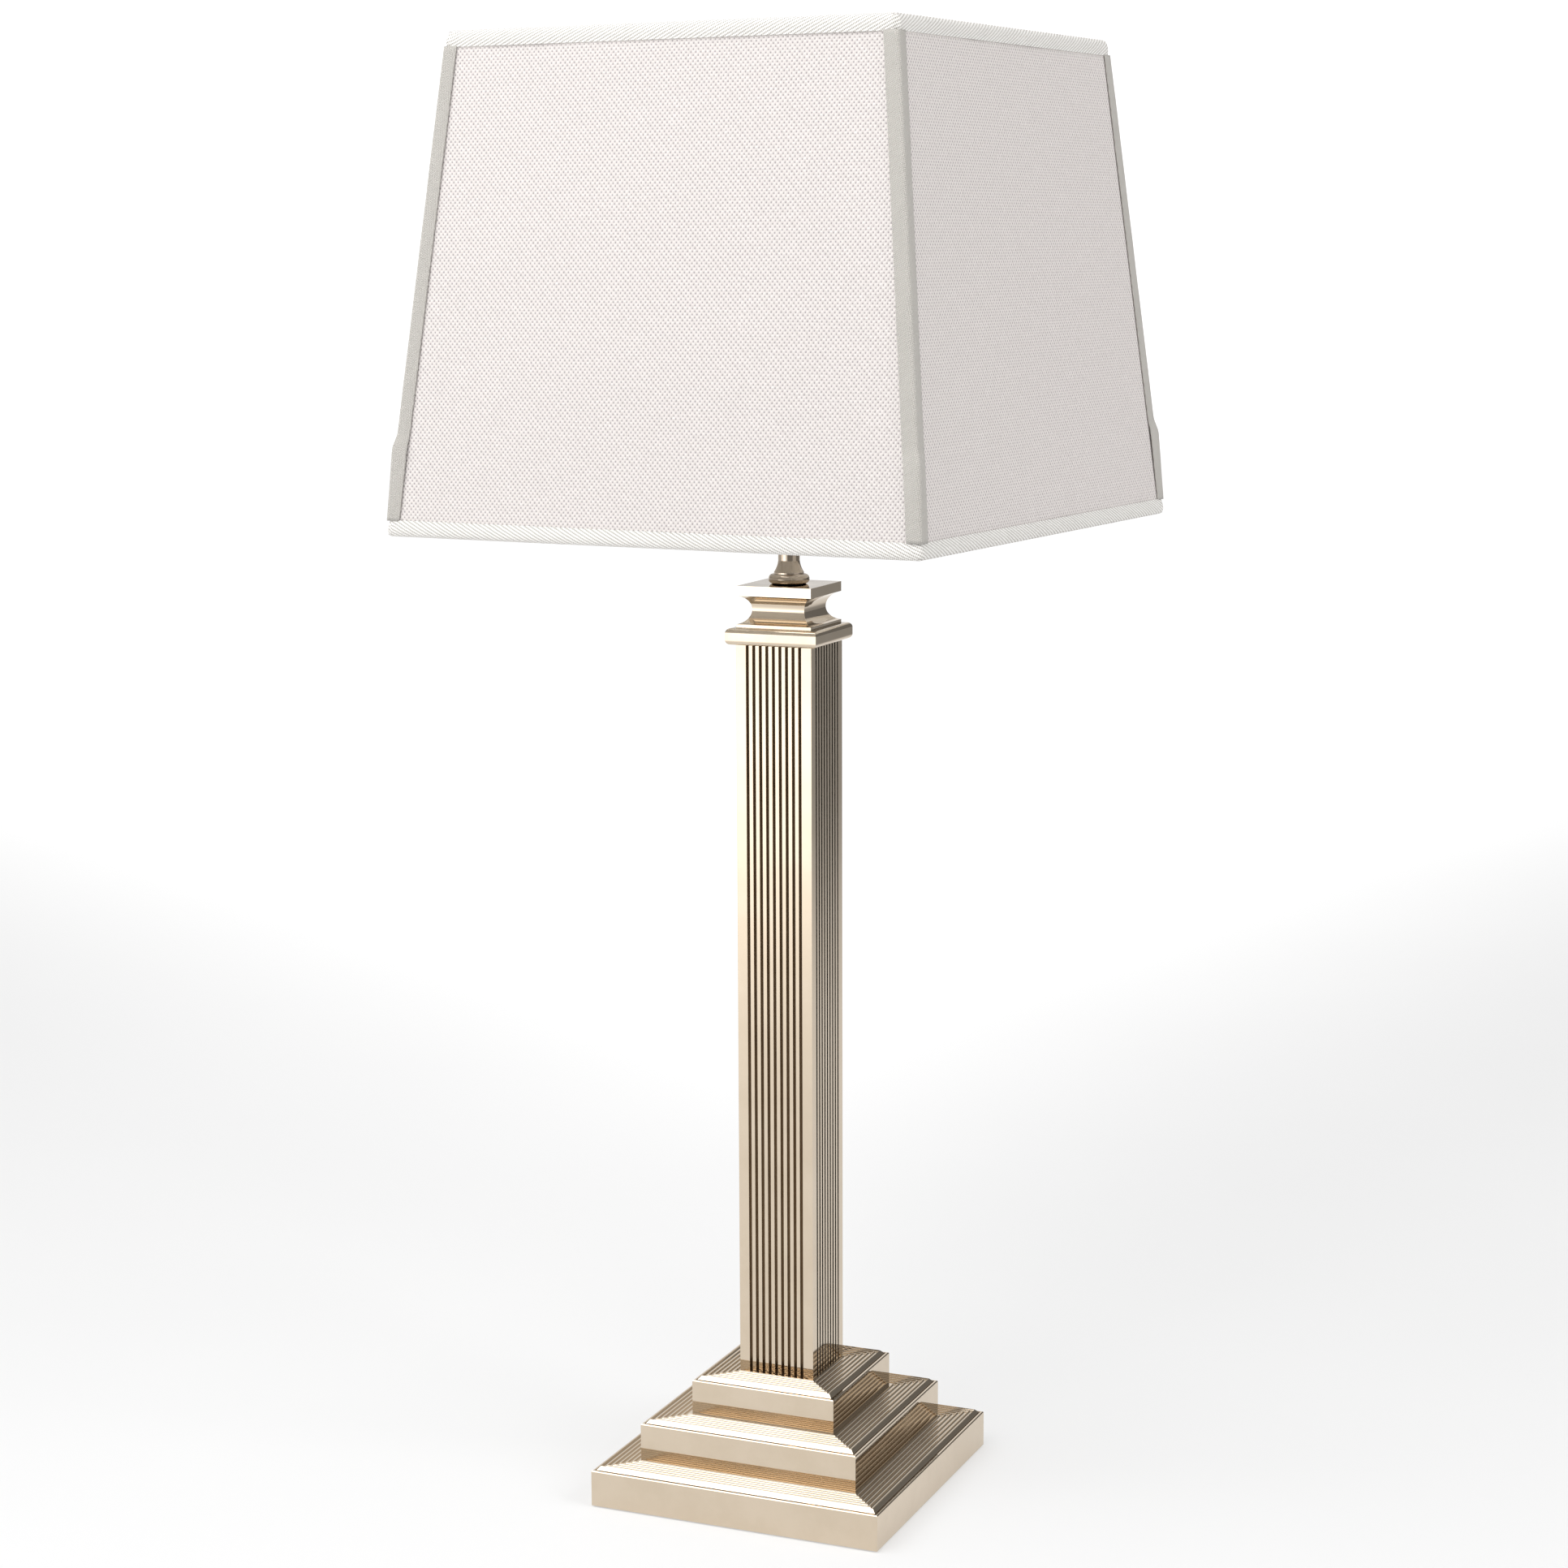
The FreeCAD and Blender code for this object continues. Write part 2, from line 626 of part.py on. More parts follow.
def base_pieces():
    slab("baize_pad", pad_side, size("baize_thickness"), 0.0)
    slab("base_board", pad_side, size("board_thickness"), size("baize_thickness"))
    ballast_plate()
    lower_step()
    step("middle_step", size("middle_side"), size("upper_side"), middle_level, size("middle_height"), True)
    step("upper_step", size("upper_side"), size("column_side"), upper_level, size("upper_height"), True)
    lead_inlet()
    earth_tag()
    nut_level = ballast_level + size("nut_room")
    spring_level = nut_level + size("base_nut_height")
    washer_level = spring_level + size("spring_washer_thickness")
    nut("base_nut", size("base_nut_flats"), size("base_nut_height"), nut_level)
    spring_washer(spring_level)
    disc("base_washer", size("washer_diameter"), rod_hole, size("washer_thickness"), washer_level)


# ---------------------------------------------------------------- column and capital

def column():
    """Square tube with rectangular flutes down its four faces."""
    body = new_body("column", column_level)
    section = new_sketch(body)
    square(section, size("column_side"))
    square(section, column_bore)
    pad(body, section, size("column_length"))
    flutes = new_sketch(body)
    face = -size("column_side") / 2
    half = size("flute_width") / 2
    for index in range(count("flute_count")):
        middle = (index - (count("flute_count") - 1) / 2) * size("flute_pitch")
        rectangle(flutes, middle - half, middle + half, face - size("flute_depth"), face + size("flute_depth"))
    cut = pocket(body, flutes, upwards=True)
    round_pattern(body, cut, SIDES)


def capital_collar():
    """Square collar with its upper and lower edges rounded."""
    body = slab("capital_collar", size("collar_side"), size("collar_height"), collar_level)
    doc.recompute()
    block = body.Tip
    top = size("collar_height").number
    rims = [f"Edge{index}" for index, edge in enumerate(block.Shape.Edges, start=1)
            if edge.BoundBox.ZMax < 1e-6 or edge.BoundBox.ZMin > top - 1e-6]
    rounding = body.newObject("PartDesign::Fillet", "Fillet")
    rounding.Base = (block, rims)
    bind(rounding, "Radius", size("collar_round"))
    through_hole(body, rod_hole)


def capital():
    """Fillet, hollow and abacus in one block: the hollow is a round channel cut along each side."""
    body = slab("capital", size("capital_side"), capital_height, capital_level)
    hollow = new_sketch(body, "XZ_Plane")
    face = size("capital_side") / 2
    bottom = size("capital_fillet")
    top = bottom + size("hollow_height")
    half = size("hollow_height") / 2
    radius = (half * half + size("hollow_depth") * size("hollow_depth")) / (2 * size("hollow_depth"))
    outside = face + size("capital_fillet")
    outline(hollow, [(face, bottom, radius, 1), (outside, bottom), (outside, top), (face, top),
                     (face - size("hollow_depth"), bottom + half, radius, 1)])
    cut = pocket(body, hollow, centred=True)
    round_pattern(body, cut, SIDES)
    through_hole(body, rod_hole)


def column_pieces():
    slab("column_foot_plug", plug_side, size("plug_height"), column_level, rod_hole)
    column()
    slab("column_head_plug", plug_side, size("plug_height"), collar_level - size("plug_height"), rod_hole)
    capital_collar()
    capital()


# ---------------------------------------------------------------- neck and lampholder

def threaded_tube():
    """The tube that clamps the whole stand and carries the lead."""
    length = holder_level + size("rod_grip") - size("rod_start")
    disc("threaded_tube", size("rod_diameter"), size("rod_bore"), length, size("rod_start"))


def neck_flange():
    """Round flange with a half-round edge."""
    body = new_body("neck_flange", flange_level)
    hole = rod_hole / 2
    edge = size("flange_diameter") / 2
    round_edge = size("flange_height") / 2
    turned(body, [
        (hole, 0.0),
        (edge - round_edge, 0.0),
        (edge, round_edge, round_edge, 1),
        (edge - round_edge, size("flange_height"), round_edge, 1),
        (hole, size("flange_height")),
    ])


def neck_bell():
    """Small bell that flares from the tube of the neck down to the flange."""
    body = new_body("neck_bell", bell_level)
    hole = rod_hole / 2
    foot = size("bell_diameter") / 2
    turned(body, [
        (hole, 0.0),
        (foot, 0.0),
        (foot, size("bell_foot")),
        (neck_diameter / 2, size("bell_height"), size("bell_curve"), -1),
        (hole, size("bell_height")),
    ])


def holder_cap():
    """Cup of the lampholder: flat foot, sloping shoulder, straight rim, threaded boss, two bar holes."""
    body = new_body("holder_cap", holder_level)
    outer = size("cap_diameter") / 2
    inner = cap_inner / 2
    foot = size("cap_foot") / 2
    shoulder = size("cap_height") - size("cap_rim")
    boss = size("cap_boss") / 2
    thread = nut_bore / 2
    turned(body, [
        (thread, 0.0),
        (foot, 0.0),
        (outer, shoulder),
        (outer, size("cap_height")),
        (inner, size("cap_height")),
        (inner, shoulder),
        (foot, size("cap_floor")),
        (boss, size("cap_floor")),
        (boss, size("cap_boss_height")),
        (thread, size("cap_boss_height")),
    ])
    cross_hole(body, switch_hole, size("switch_level"))


def holder_insulator():
    """Round insulator in the lampholder, bored for the switch bar."""
    body = new_body("holder_insulator", insulator_level)
    section = new_sketch(body)
    shoulder_run = (cap_inner - size("cap_foot")) / (size("cap_height") - size("cap_rim") - size("cap_floor"))
    room = size("cap_foot") + shoulder_run * (size("cap_boss_height") - size("cap_floor"))
    circle(section, room - 2 * size("insulator_clearance"))
    pad(body, section, size("insulator_height"))
    cross_hole(body, switch_hole, size("switch_level") - size("cap_boss_height"))


def holder_terminals():
    """Two terminal blocks under the insulator."""
    body = new_body("holder_terminals", insulator_level - size("terminal_height"))
    section = new_sketch(body)
    half = size("terminal_width") / 2
    near = size("terminal_offset") - size("terminal_length") / 2
    far = size("terminal_offset") + size("terminal_length") / 2
    rectangle(section, -half, half, near, far)
    rectangle(section, -half, half, -far, -near)
    pad(body, section, size("terminal_height"))


def holder_contact():
    """Bent spring strip that presses on the bulb's tip."""
    body = new_body("holder_contact", shell_level)
    strip = size("contact_strip")
    rise = size("contact_rise")
    reach = size("contact_reach")
    section = new_sketch(body, "XZ_Plane")
    outline(section, [
        (-reach, 0.0), (-reach / 3, 0.0), (reach / 2, rise), (reach, rise),
        (reach, rise + strip), (reach / 2 - strip, rise + strip), (-reach / 3 - strip, strip), (-reach, strip),
    ])
    pad(body, section, size("contact_width"), centred=True)


def holder_screw_shell():
    """Thin shell that takes the bulb's screw cap, with a foot on the insulator."""
    body = new_body("holder_screw_shell", shell_level)
    inner = shell_bore / 2
    outer = inner + size("shell_wall")
    turned(body, [
        (inner, 0.0),
        (outer + size("shell_foot"), 0.0),
        (outer + size("shell_foot"), size("shell_wall")),
        (outer, size("shell_wall")),
        (outer, size("shell_height")),
        (inner, size("shell_height")),
    ])


def holder_sleeve():
    """Outer sleeve of the lampholder, turned in round its mouth."""
    body = new_body("holder_sleeve", sleeve_rim_level)
    outer = holder_diameter / 2
    inner = outer - size("holder_wall")
    top = size("holder_height")
    turned(body, [
        (inner, 0.0),
        (outer, 0.0),
        (outer, top),
        (holder_mouth / 2, top),
        (holder_mouth / 2, top - size("holder_wall")),
        (inner, top - size("holder_wall")),
    ])


def shade_ring_lower():
    """Ring that the shade's fitting ring rests on, flange up."""
    body = new_body("shade_ring_lower", lower_ring_level)
    bore = holder_diameter / 2 + size("ring_fixed_clearance")
    hub = bore + size("ring_wall")
    height = size("lower_ring_height")
    turned(body, [
        (bore, 0.0),
        (hub, 0.0),
        (hub, height - size("ring_flange")),
        (ring_diameter / 2, height - size("ring_flange")),
        (ring_diameter / 2, height),
        (bore, height),
    ])


def shade_ring_upper():
    """Ring that clamps the shade, flange down, with finger notches round the flange."""
    body = new_body("shade_ring_upper", upper_ring_level)
    bore = holder_diameter / 2 + size("ring_free_clearance")
    hub = bore + size("ring_wall")
    height = size("upper_ring_height")
    turned(body, [
        (bore, 0.0),
        (ring_diameter / 2, 0.0),
        (ring_diameter / 2, size("ring_flange")),
        (hub, size("ring_flange")),
        (hub, height),
        (bore, height),
    ])
    notch = new_sketch(body)
    circle(notch, size("ring_notch"), ring_diameter / 2 + size("ring_notch") / 4, 0.0)
    cut = pocket(body, notch, upwards=True)
    round_pattern(body, cut, count("ring_notch_count"))


def switch_bar():
    """Push-through bar with a button on each end. Its own Z axis lies along X."""
    reach = size("cap_diameter") / 2 + size("switch_gap")
    bar = size("switch_bar") / 2
    button = size("switch_button") / 2
    bevel = size("switch_button_bevel")
    left = -reach
    right = reach + size("switch_travel")
    left_end = left - size("switch_button_length")
    right_end = right + size("switch_button_length")
    body = new_body("switch_bar", holder_level + size("switch_level"))
    body.Placement.Rotation = FreeCAD.Rotation(FreeCAD.Vector(0, 1, 0), QUARTER)
    turned(body, [
        (0.0, left_end),
        (button - bevel, left_end),
        (button, left_end + bevel),
        (button, left),
        (bar, left),
        (bar, right),
        (button, right),
        (button, right_end - bevel),
        (button - bevel, right_end),
        (0.0, right_end),
    ])


def holder_pieces():
    threaded_tube()
    neck_flange()
    neck_bell()
    disc("neck_sleeve", neck_diameter, rod_hole, size("sleeve_length"), sleeve_level)
    nut("neck_locknut", size("locknut_flats"), size("locknut_height"), locknut_level)
    holder_cap()
    holder_insulator()
    holder_terminals()
    holder_contact()
    holder_screw_shell()
    holder_sleeve()
    shade_ring_lower()
    shade_ring_upper()
    switch_bar()


# ---------------------------------------------------------------- bulb

def bulb_envelope():
    """Housing and dome of the bulb: a cone tangent to a ball, parted where they touch."""
    neck = size("bulb_cap_diameter") / 2
    ball = size("bulb_diameter") / 2
    cone_foot = size("bulb_cap_top") + size("bulb_shoulder")
    ball_level = size("bulb_length") - ball
    rise = ball_level - cone_foot
    reach = neck * neck + rise * rise
    along = root(reach - ball * ball)
    touch = (ball * neck + along * rise) * ball / reach
    touch_level = ball_level - (ball * rise - along * neck) * ball / reach
    housing = new_body("bulb_housing", bulb_level)
    turned(housing, [
        (0.0, size("bulb_cap_top")),
        (neck, size("bulb_cap_top")),
        (neck, cone_foot),
        (touch, touch_level),
        (0.0, touch_level),
    ])
    dome = new_body("bulb_dome", bulb_level)
    turned(dome, [
        (0.0, touch_level),
        (touch, touch_level),
        (ball, ball_level, ball, 1),
        (0.0, size("bulb_length"), ball, 1),
    ])


def bulb_cap():
    """Screw cap of the bulb, open at the top, with a narrow floor."""
    body = new_body("bulb_cap", bulb_level)
    outer = size("bulb_cap_diameter") / 2
    inner = outer - size("bulb_cap_wall")
    bottom = size("bulb_cap_bottom")
    turned(body, [
        (size("bulb_tip_diameter") / 2, bottom),
        (outer, bottom),
        (outer, size("bulb_cap_top")),
        (inner, size("bulb_cap_top")),
        (inner, bottom + size("bulb_cap_wall")),
        (size("bulb_tip_diameter") / 2, bottom + size("bulb_cap_wall")),
    ])


def bulb_insulator():
    """Cone of insulation between the tip and the screw cap."""
    body = new_body("bulb_insulator", bulb_level)
    turned(body, [
        (0.0, size("bulb_tip_height")),
        (size("bulb_tip_diameter") / 2, size("bulb_tip_height")),
        (size("bulb_insulator_top") / 2, size("bulb_cap_bottom")),
        (0.0, size("bulb_cap_bottom")),
    ])


def bulb_tip():
    """Contact at the end of the bulb, its lower edge bevelled."""
    body = new_body("bulb_tip", bulb_level)
    radius = size("bulb_tip_diameter") / 2
    bevel = size("bulb_tip_bevel")
    turned(body, [
        (0.0, 0.0),
        (radius - bevel, 0.0),
        (radius, bevel),
        (radius, size("bulb_tip_height")),
        (0.0, size("bulb_tip_height")),
    ])


def bulb_pieces():
    bulb_tip()
    bulb_insulator()
    bulb_cap()
    bulb_envelope()


# ---------------------------------------------------------------- shade

shade_slope = (size("shade_bottom_side") - size("shade_top_side")) / (2 * size("shade_height"))


def shade_half(level, inset=0.0):
    """Half the shade's width at a level above its bottom rim, less an inset."""
    return size("shade_bottom_side") / 2 - shade_slope * level - inset


# Insets from the outside of the bindings
panel_inset = size("tape_thickness") + size("tape_gap")
panel_back = panel_inset + size("panel_thickness")
wire_middle = panel_back + size("wire_gap") + size("wire_diameter") / 2
wire_back = wire_middle + size("wire_diameter") / 2 + size("wire_gap")
binding_back = wire_back + size("tape_thickness")
panel_bottom = size("tape_thickness") + size("tape_gap")
panel_top = size("shade_height") - panel_bottom
bottom_wire_level = panel_bottom + size("wire_diameter") / 2
top_wire_level = size("shade_height") - bottom_wire_level


def shade_body(label, turn=0.0):
    return new_body(label, shade_level, size("shade_turn") + turn)


def shade_panel(label, turn):
    """One flat panel that leans in with the shade, cut to a trapezium. It is the front one before its turn."""
    body = shade_body(label, turn)
    edge_inset = panel_back + size("panel_gap")
    slice_of_panel = new_sketch(body, "YZ_Plane")
    outline(slice_of_panel, [
        (-shade_half(panel_bottom, panel_inset), panel_bottom),
        (-shade_half(panel_bottom, panel_back), panel_bottom),
        (-shade_half(panel_top, panel_back), panel_top),
        (-shade_half(panel_top, panel_inset), panel_top),
    ])
    pad(body, slice_of_panel, size("shade_bottom_side"), centred=True)
    trim = new_sketch(body, "XZ_Plane")
    outside = size("shade_bottom_side")
    for side in (-1, 1):
        outline(trim, [
            (side * shade_half(0.0, edge_inset), 0.0),
            (side * outside, 0.0),
            (side * outside, size("shade_height")),
            (side * shade_half(size("shade_height"), edge_inset), size("shade_height")),
        ])
    pocket(body, trim, centred=True)


def shade_wire(label, level):
    """Square wire with mitred corners, inside the panels."""
    body = shade_body(label)
    half = shade_half(level, wire_middle)
    path = new_sketch(body, offset=level)
    outline(path, [(0.0, -half), (half, -half), (half, half), (-half, half), (-half, -half)])
    section = new_sketch(body, "YZ_Plane")
    circle(section, size("wire_diameter"), -half, level)
    pipe = body.newObject("PartDesign::AdditivePipe", "AdditivePipe")
    pipe.Profile = section
    pipe.Spine = path
    pipe.Transition = "Right corner"


def shade_strut(label, turn):
    """Straight wire in a corner, from the bottom wire to the top wire."""
    body = shade_body(label, turn)
    sections = []
    margin = size("wire_diameter") / 2 + size("wire_gap")
    for level in (bottom_wire_level + margin, top_wire_level - margin):
        section = new_sketch(body, offset=level)
        middle = shade_half(level, wire_middle)
        circle(section, size("wire_diameter"), middle, -middle)
        sections.append(section)
    loft(body, *sections)


def shade_arm(label, turn):
    """Straight wire from the fitting ring out to a strut, along its own X axis."""
    body = new_body(label, arm_level, size("shade_turn") + turn)
    start = fitting_diameter / 2
    strut = shade_half(size("shade_drop") + size("wire_diameter") / 2, wire_middle) * DIAGONAL
    end = strut - size("wire_diameter") / 2 - size("wire_gap")
    section = new_sketch(body, "YZ_Plane", start)
    circle(section, size("wire_diameter"))
    pad(body, section, end - start)


def rim_binding(label, rim_level, inward):
    """Tape folded over a rim: an outer face, a fold over the edge, and an inner face behind the wire."""
    body = shade_body(label)
    thickness = size("tape_thickness")
    edge = rim_level + inward * size("tape_width")
    fold = rim_level + inward * thickness
    low, high = (rim_level, edge) if inward > 0 else (edge, rim_level)
    slot_low, slot_high = (fold, edge) if inward > 0 else (edge, fold)
    taper(body, 2 * shade_half(low), low, 2 * shade_half(high), high)
    layers = ((thickness, True), (wire_back, False), (binding_back, True))
    for inset, cut in layers:
        bottom, top = (low, high) if inset is binding_back else (slot_low, slot_high)
        taper(body, 2 * shade_half(bottom, inset), bottom, 2 * shade_half(top, inset), top, cut)


def corner_binding(label, turn):
    """Tape folded down one corner, between the rim bindings."""
    body = shade_body(label, turn)
    margin = size("tape_width") + size("tape_gap")
    sections = []
    for level in (margin, size("shade_height") - margin):
        outer = shade_half(level)
        inner = shade_half(level, size("tape_thickness"))
        reach = shade_half(level, size("corner_tape_width"))
        section = new_sketch(body, offset=level)
        outline(section, [(outer, -outer), (outer, -reach), (inner, -reach),
                          (inner, -inner), (reach, -inner), (reach, -outer)])
        sections.append(section)
    loft(body, *sections)


def shade_pieces():
    disc("shade_fitting_ring", fitting_diameter, fitting_bore, size("fitting_thickness"),
         fitting_level, size("shade_turn"))
    for index, name in enumerate(("front", "right", "back", "left")):
        shade_panel(f"shade_panel_{name}", index * QUARTER)
    shade_wire("shade_bottom_wire", bottom_wire_level)
    shade_wire("shade_top_wire", top_wire_level)
    for index in range(SIDES):
        number = index + 1
        turn = index * QUARTER
        shade_strut(f"shade_strut_{number}", turn)
        shade_arm(f"shade_arm_{number}", turn - EIGHTH)
        corner_binding(f"shade_corner_binding_{number}", turn)
    rim_binding("shade_bottom_binding", as_size(0), 1)
    rim_binding("shade_top_binding", size("shade_height"), -1)


def check(bodies):
    """Stops if any object failed or any piece has no valid solid."""
    for item in doc.Objects:
        if "Invalid" in item.State or "Error" in item.State:
            raise RuntimeError(f"{item.Label} failed: {item.State}")
    for body in bodies:
        if body.Shape.isNull() or not body.Shape.isValid() or not body.Shape.Solids:
            raise RuntimeError(f"{body.Label} has no valid solid")


base_pieces()
column_pieces()
holder_pieces()
bulb_pieces()
shade_pieces()
doc.recompute()
pieces = [item for item in doc.Objects if item.TypeId == "PartDesign::Body"]
check(pieces)
os.makedirs("parts", exist_ok=True)
for piece in pieces:
    piece.Shape.exportStep(f"parts/{piece.Label}.step")
print(len(pieces), "pieces written")
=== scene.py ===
import json
import math

import bpy
import numpy as np
from mathutils import Matrix, Vector


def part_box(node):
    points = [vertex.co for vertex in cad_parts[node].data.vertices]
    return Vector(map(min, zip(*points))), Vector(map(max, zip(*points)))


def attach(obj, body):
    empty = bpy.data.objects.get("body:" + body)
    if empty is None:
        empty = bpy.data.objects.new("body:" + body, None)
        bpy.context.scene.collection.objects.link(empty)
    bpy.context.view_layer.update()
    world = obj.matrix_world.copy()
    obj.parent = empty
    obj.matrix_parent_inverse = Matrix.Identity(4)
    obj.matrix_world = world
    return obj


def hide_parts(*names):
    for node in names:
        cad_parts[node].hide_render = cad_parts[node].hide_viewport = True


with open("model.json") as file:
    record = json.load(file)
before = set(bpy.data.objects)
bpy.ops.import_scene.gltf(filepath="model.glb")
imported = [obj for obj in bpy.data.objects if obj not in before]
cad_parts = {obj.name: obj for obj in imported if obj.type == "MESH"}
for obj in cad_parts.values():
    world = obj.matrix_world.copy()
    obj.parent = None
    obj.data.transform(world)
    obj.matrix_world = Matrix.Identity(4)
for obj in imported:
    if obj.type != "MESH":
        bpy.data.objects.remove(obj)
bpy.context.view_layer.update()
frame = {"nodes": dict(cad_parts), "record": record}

MM = 0.001
TURN = 2 * math.pi


# ---------------------------------------------------------------- shader maths

class Level:
    """A value in a node tree. Arithmetic on it adds Math nodes."""

    def __init__(self, nodes, socket):
        self.nodes = nodes
        self.socket = socket

    def maths(self, operation, *values):
        """A Math node on this value and the others, in that order."""
        return self.nodes.node("ShaderNodeMath", {"operation": operation}, dict(enumerate((self, *values))))

    def __add__(self, other):
        return self.maths("ADD", other)

    def __radd__(self, other):
        return self + other

    def __sub__(self, other):
        return self.maths("SUBTRACT", other)

    def __rsub__(self, other):
        return self * -1.0 + other

    def __mul__(self, other):
        return self.maths("MULTIPLY", other)

    def __rmul__(self, other):
        return self * other

    def wave(self):
        """Cosine of a whole turn for each unit."""
        return (self * TURN).maths("COSINE")

    def step(self, low, high):
        """0 below low, 1 above high, and a smooth step between."""
        return self.nodes.node("ShaderNodeMapRange", {"interpolation_type": "SMOOTHSTEP"},
                               {"Value": self, "From Min": low, "From Max": high})


class Nodes:
    """A node tree that values can be added to."""

    def __init__(self, tree):
        self.tree = tree

    def fill(self, node, sockets):
        """Sets or links each of a node's sockets."""
        for key, value in sockets.items():
            if isinstance(value, Level):
                self.tree.links.new(value.socket, node.inputs[key])
            else:
                node.inputs[key].default_value = value

    def node(self, kind, settings={}, sockets={}, output=0):
        """Adds a node: its settings first, then its sockets. Gives one of its outputs."""
        node = self.tree.nodes.new(kind)
        for key, value in settings.items():
            setattr(node, key, value)
        self.fill(node, sockets)
        return Level(self, node.outputs[output])

    def dot(self, where, direction):
        """How far a place lies in a direction."""
        return self.node("ShaderNodeVectorMath", {"operation": "DOT_PRODUCT"},
                         {0: where, 1: direction}, "Value")

    def stretch(self, where, factors):
        """A place with each axis times its own factor."""
        return self.node("ShaderNodeVectorMath", {"operation": "MULTIPLY"}, {0: where, 1: factors})


class Finish(Nodes):
    """A material: a Principled shader and the nodes that vary it."""

    def __init__(self, name, **sockets):
        self.material = bpy.data.materials.new(name)
        self.material.use_nodes = True
        super().__init__(self.material.node_tree)
        self.shader = self.tree.nodes["Principled BSDF"]
        self.show(**sockets)

    def place(self, factors=(1.0, 1.0, 1.0)):
        """Position on the lamp in metres, each axis times its own factor."""
        return self.stretch(self.node("ShaderNodeTexCoord", output="Object"), factors)

    def cloth_place(self):
        """Position on a piece's own cloth, along and across, in metres."""
        where = self.node("ShaderNodeUVMap", {"uv_map": "cloth"})
        split = self.tree.nodes.new("ShaderNodeSeparateXYZ")
        self.fill(split, {0: where})
        return where, Level(self, split.outputs[0]), Level(self, split.outputs[1])

    def noise(self, where, scale, detail=2.0, roughness=0.5):
        """Soft noise, about 0.5 in the middle."""
        return self.node("ShaderNodeTexNoise", {}, {"Vector": where, "Scale": scale, "Detail": detail,
                                                    "Roughness": roughness})

    def mix(self, share, first, second):
        """Colour between two, by a share from 0 to 1."""
        return self.node("ShaderNodeMix", {"data_type": "RGBA"}, {0: share, 6: first, 7: second}, 2)

    def bump(self, height, depth, strength=1.0, normal=None):
        """Normal of a surface whose height goes from 0 to 1 over a depth in metres."""
        sockets = {"Height": height, "Distance": depth, "Strength": strength}
        if normal is not None:
            sockets["Normal"] = normal
        return self.node("ShaderNodeBump", {}, sockets)

    def soft_edges(self, radius):
        """Normal with every edge rounded by that radius in metres."""
        return self.node("ShaderNodeBevel", {"samples": 4}, {"Radius": radius})

    def show(self, **sockets):
        """Sets or links the shader's sockets."""
        self.fill(self.shader, {key.replace("_", " "): value for key, value in sockets.items()})
        return self.material


def rgb(red, green, blue):
    """Opaque colour."""
    return (red, green, blue, 1.0)


# ---------------------------------------------------------------- finishes

def polished_nickel(name, hollow=None):
    """Champagne nickel, polished, with faint clouding and hairlines from the buffing wheel.
    In a hollow the metal is painted darker as painted shade, and is duller: from start in to end, as
    distances from the axis, and from top down to bottom."""
    finish = Finish(name, Metallic=1.0)
    where = finish.place()
    cloud = finish.noise(where, 34.0, 4.0, 0.62)
    fine = finish.noise(where, 420.0, 3.0, 0.6)
    lines = finish.noise(finish.place((900.0, 900.0, 24.0)), 1.0, 2.0)
    tone = finish.mix(cloud.step(0.35, 0.7), rgb(0.655, 0.55, 0.425), rgb(0.69, 0.585, 0.46))
    rough = 0.035 + cloud.step(0.42, 0.72) * 0.05 + fine * 0.02
    if hollow:
        start, end, top, bottom = hollow
        x, y, z = (finish.dot(where, axis) for axis in ((1, 0, 0), (0, 1, 0), (0, 0, 1)))
        out = x.maths("ABSOLUTE").maths("MAXIMUM", y.maths("ABSOLUTE"))
        # Painted shade: the metal in a hollow is painted dark brown.
        painted_shade = out.step(start, end) * z.step(top, bottom)
        tone = finish.mix(painted_shade, tone, finish.mix(cloud, rgb(0.22, 0.16, 0.10), rgb(0.34, 0.26, 0.175)))
        rough = rough + painted_shade * 0.12
    normal = finish.bump(lines * 0.6 + fine * 0.4, 0.0035 * MM, 1.0, finish.soft_edges(0.15 * MM))
    return finish.show(Base_Color=tone, Roughness=rough, Normal=normal)


def neck_nickel():
    """Darker nickel of the neck, glossy, finely turned round its axis."""
    finish = Finish("dark_neck_nickel", Metallic=1.0)
    cloud = finish.noise(finish.place(), 60.0, 3.0)
    lines = finish.noise(finish.place((30.0, 30.0, 2600.0)), 1.0, 2.0, 0.5)
    tone = finish.mix(cloud.step(0.3, 0.7), rgb(0.43, 0.355, 0.275), rgb(0.49, 0.41, 0.325))
    rough = 0.03 + lines * 0.03 + cloud * 0.02
    return finish.show(Base_Color=tone, Roughness=rough, Normal=finish.bump(lines, 0.0008 * MM))


def zinc_plate():
    """Zinc-plated steel: bluish, cloudy, with a fine crystalline grain."""
    finish = Finish("zinc_plate", Metallic=1.0)
    where = finish.place()
    cloud = finish.noise(where, 120.0, 4.0, 0.65)
    grain = finish.node("ShaderNodeTexVoronoi", {}, {"Vector": where, "Scale": 900.0})
    tone = finish.mix(cloud.step(0.3, 0.7), rgb(0.52, 0.54, 0.56), rgb(0.68, 0.68, 0.66))
    normal = finish.bump(grain * 0.5 + cloud, 0.02 * MM, 1.0, finish.soft_edges(0.2 * MM))
    return finish.show(Base_Color=tone, Roughness=0.27 + cloud * 0.2, Normal=normal)


def plain_brass():
    """Pressed brass, a little tarnished in patches."""
    finish = Finish("plain_brass", Metallic=1.0)
    where = finish.place()
    cloud = finish.noise(where, 90.0, 5.0, 0.65)
    tone = finish.mix(cloud.step(0.4, 0.72), rgb(0.78, 0.57, 0.25), rgb(0.55, 0.37, 0.17))
    normal = finish.bump(finish.noise(where, 700.0, 3.0), 0.012 * MM, 1.0, finish.soft_edges(0.15 * MM))
    return finish.show(Base_Color=tone, Roughness=0.2 + cloud.step(0.4, 0.75) * 0.25, Normal=normal)


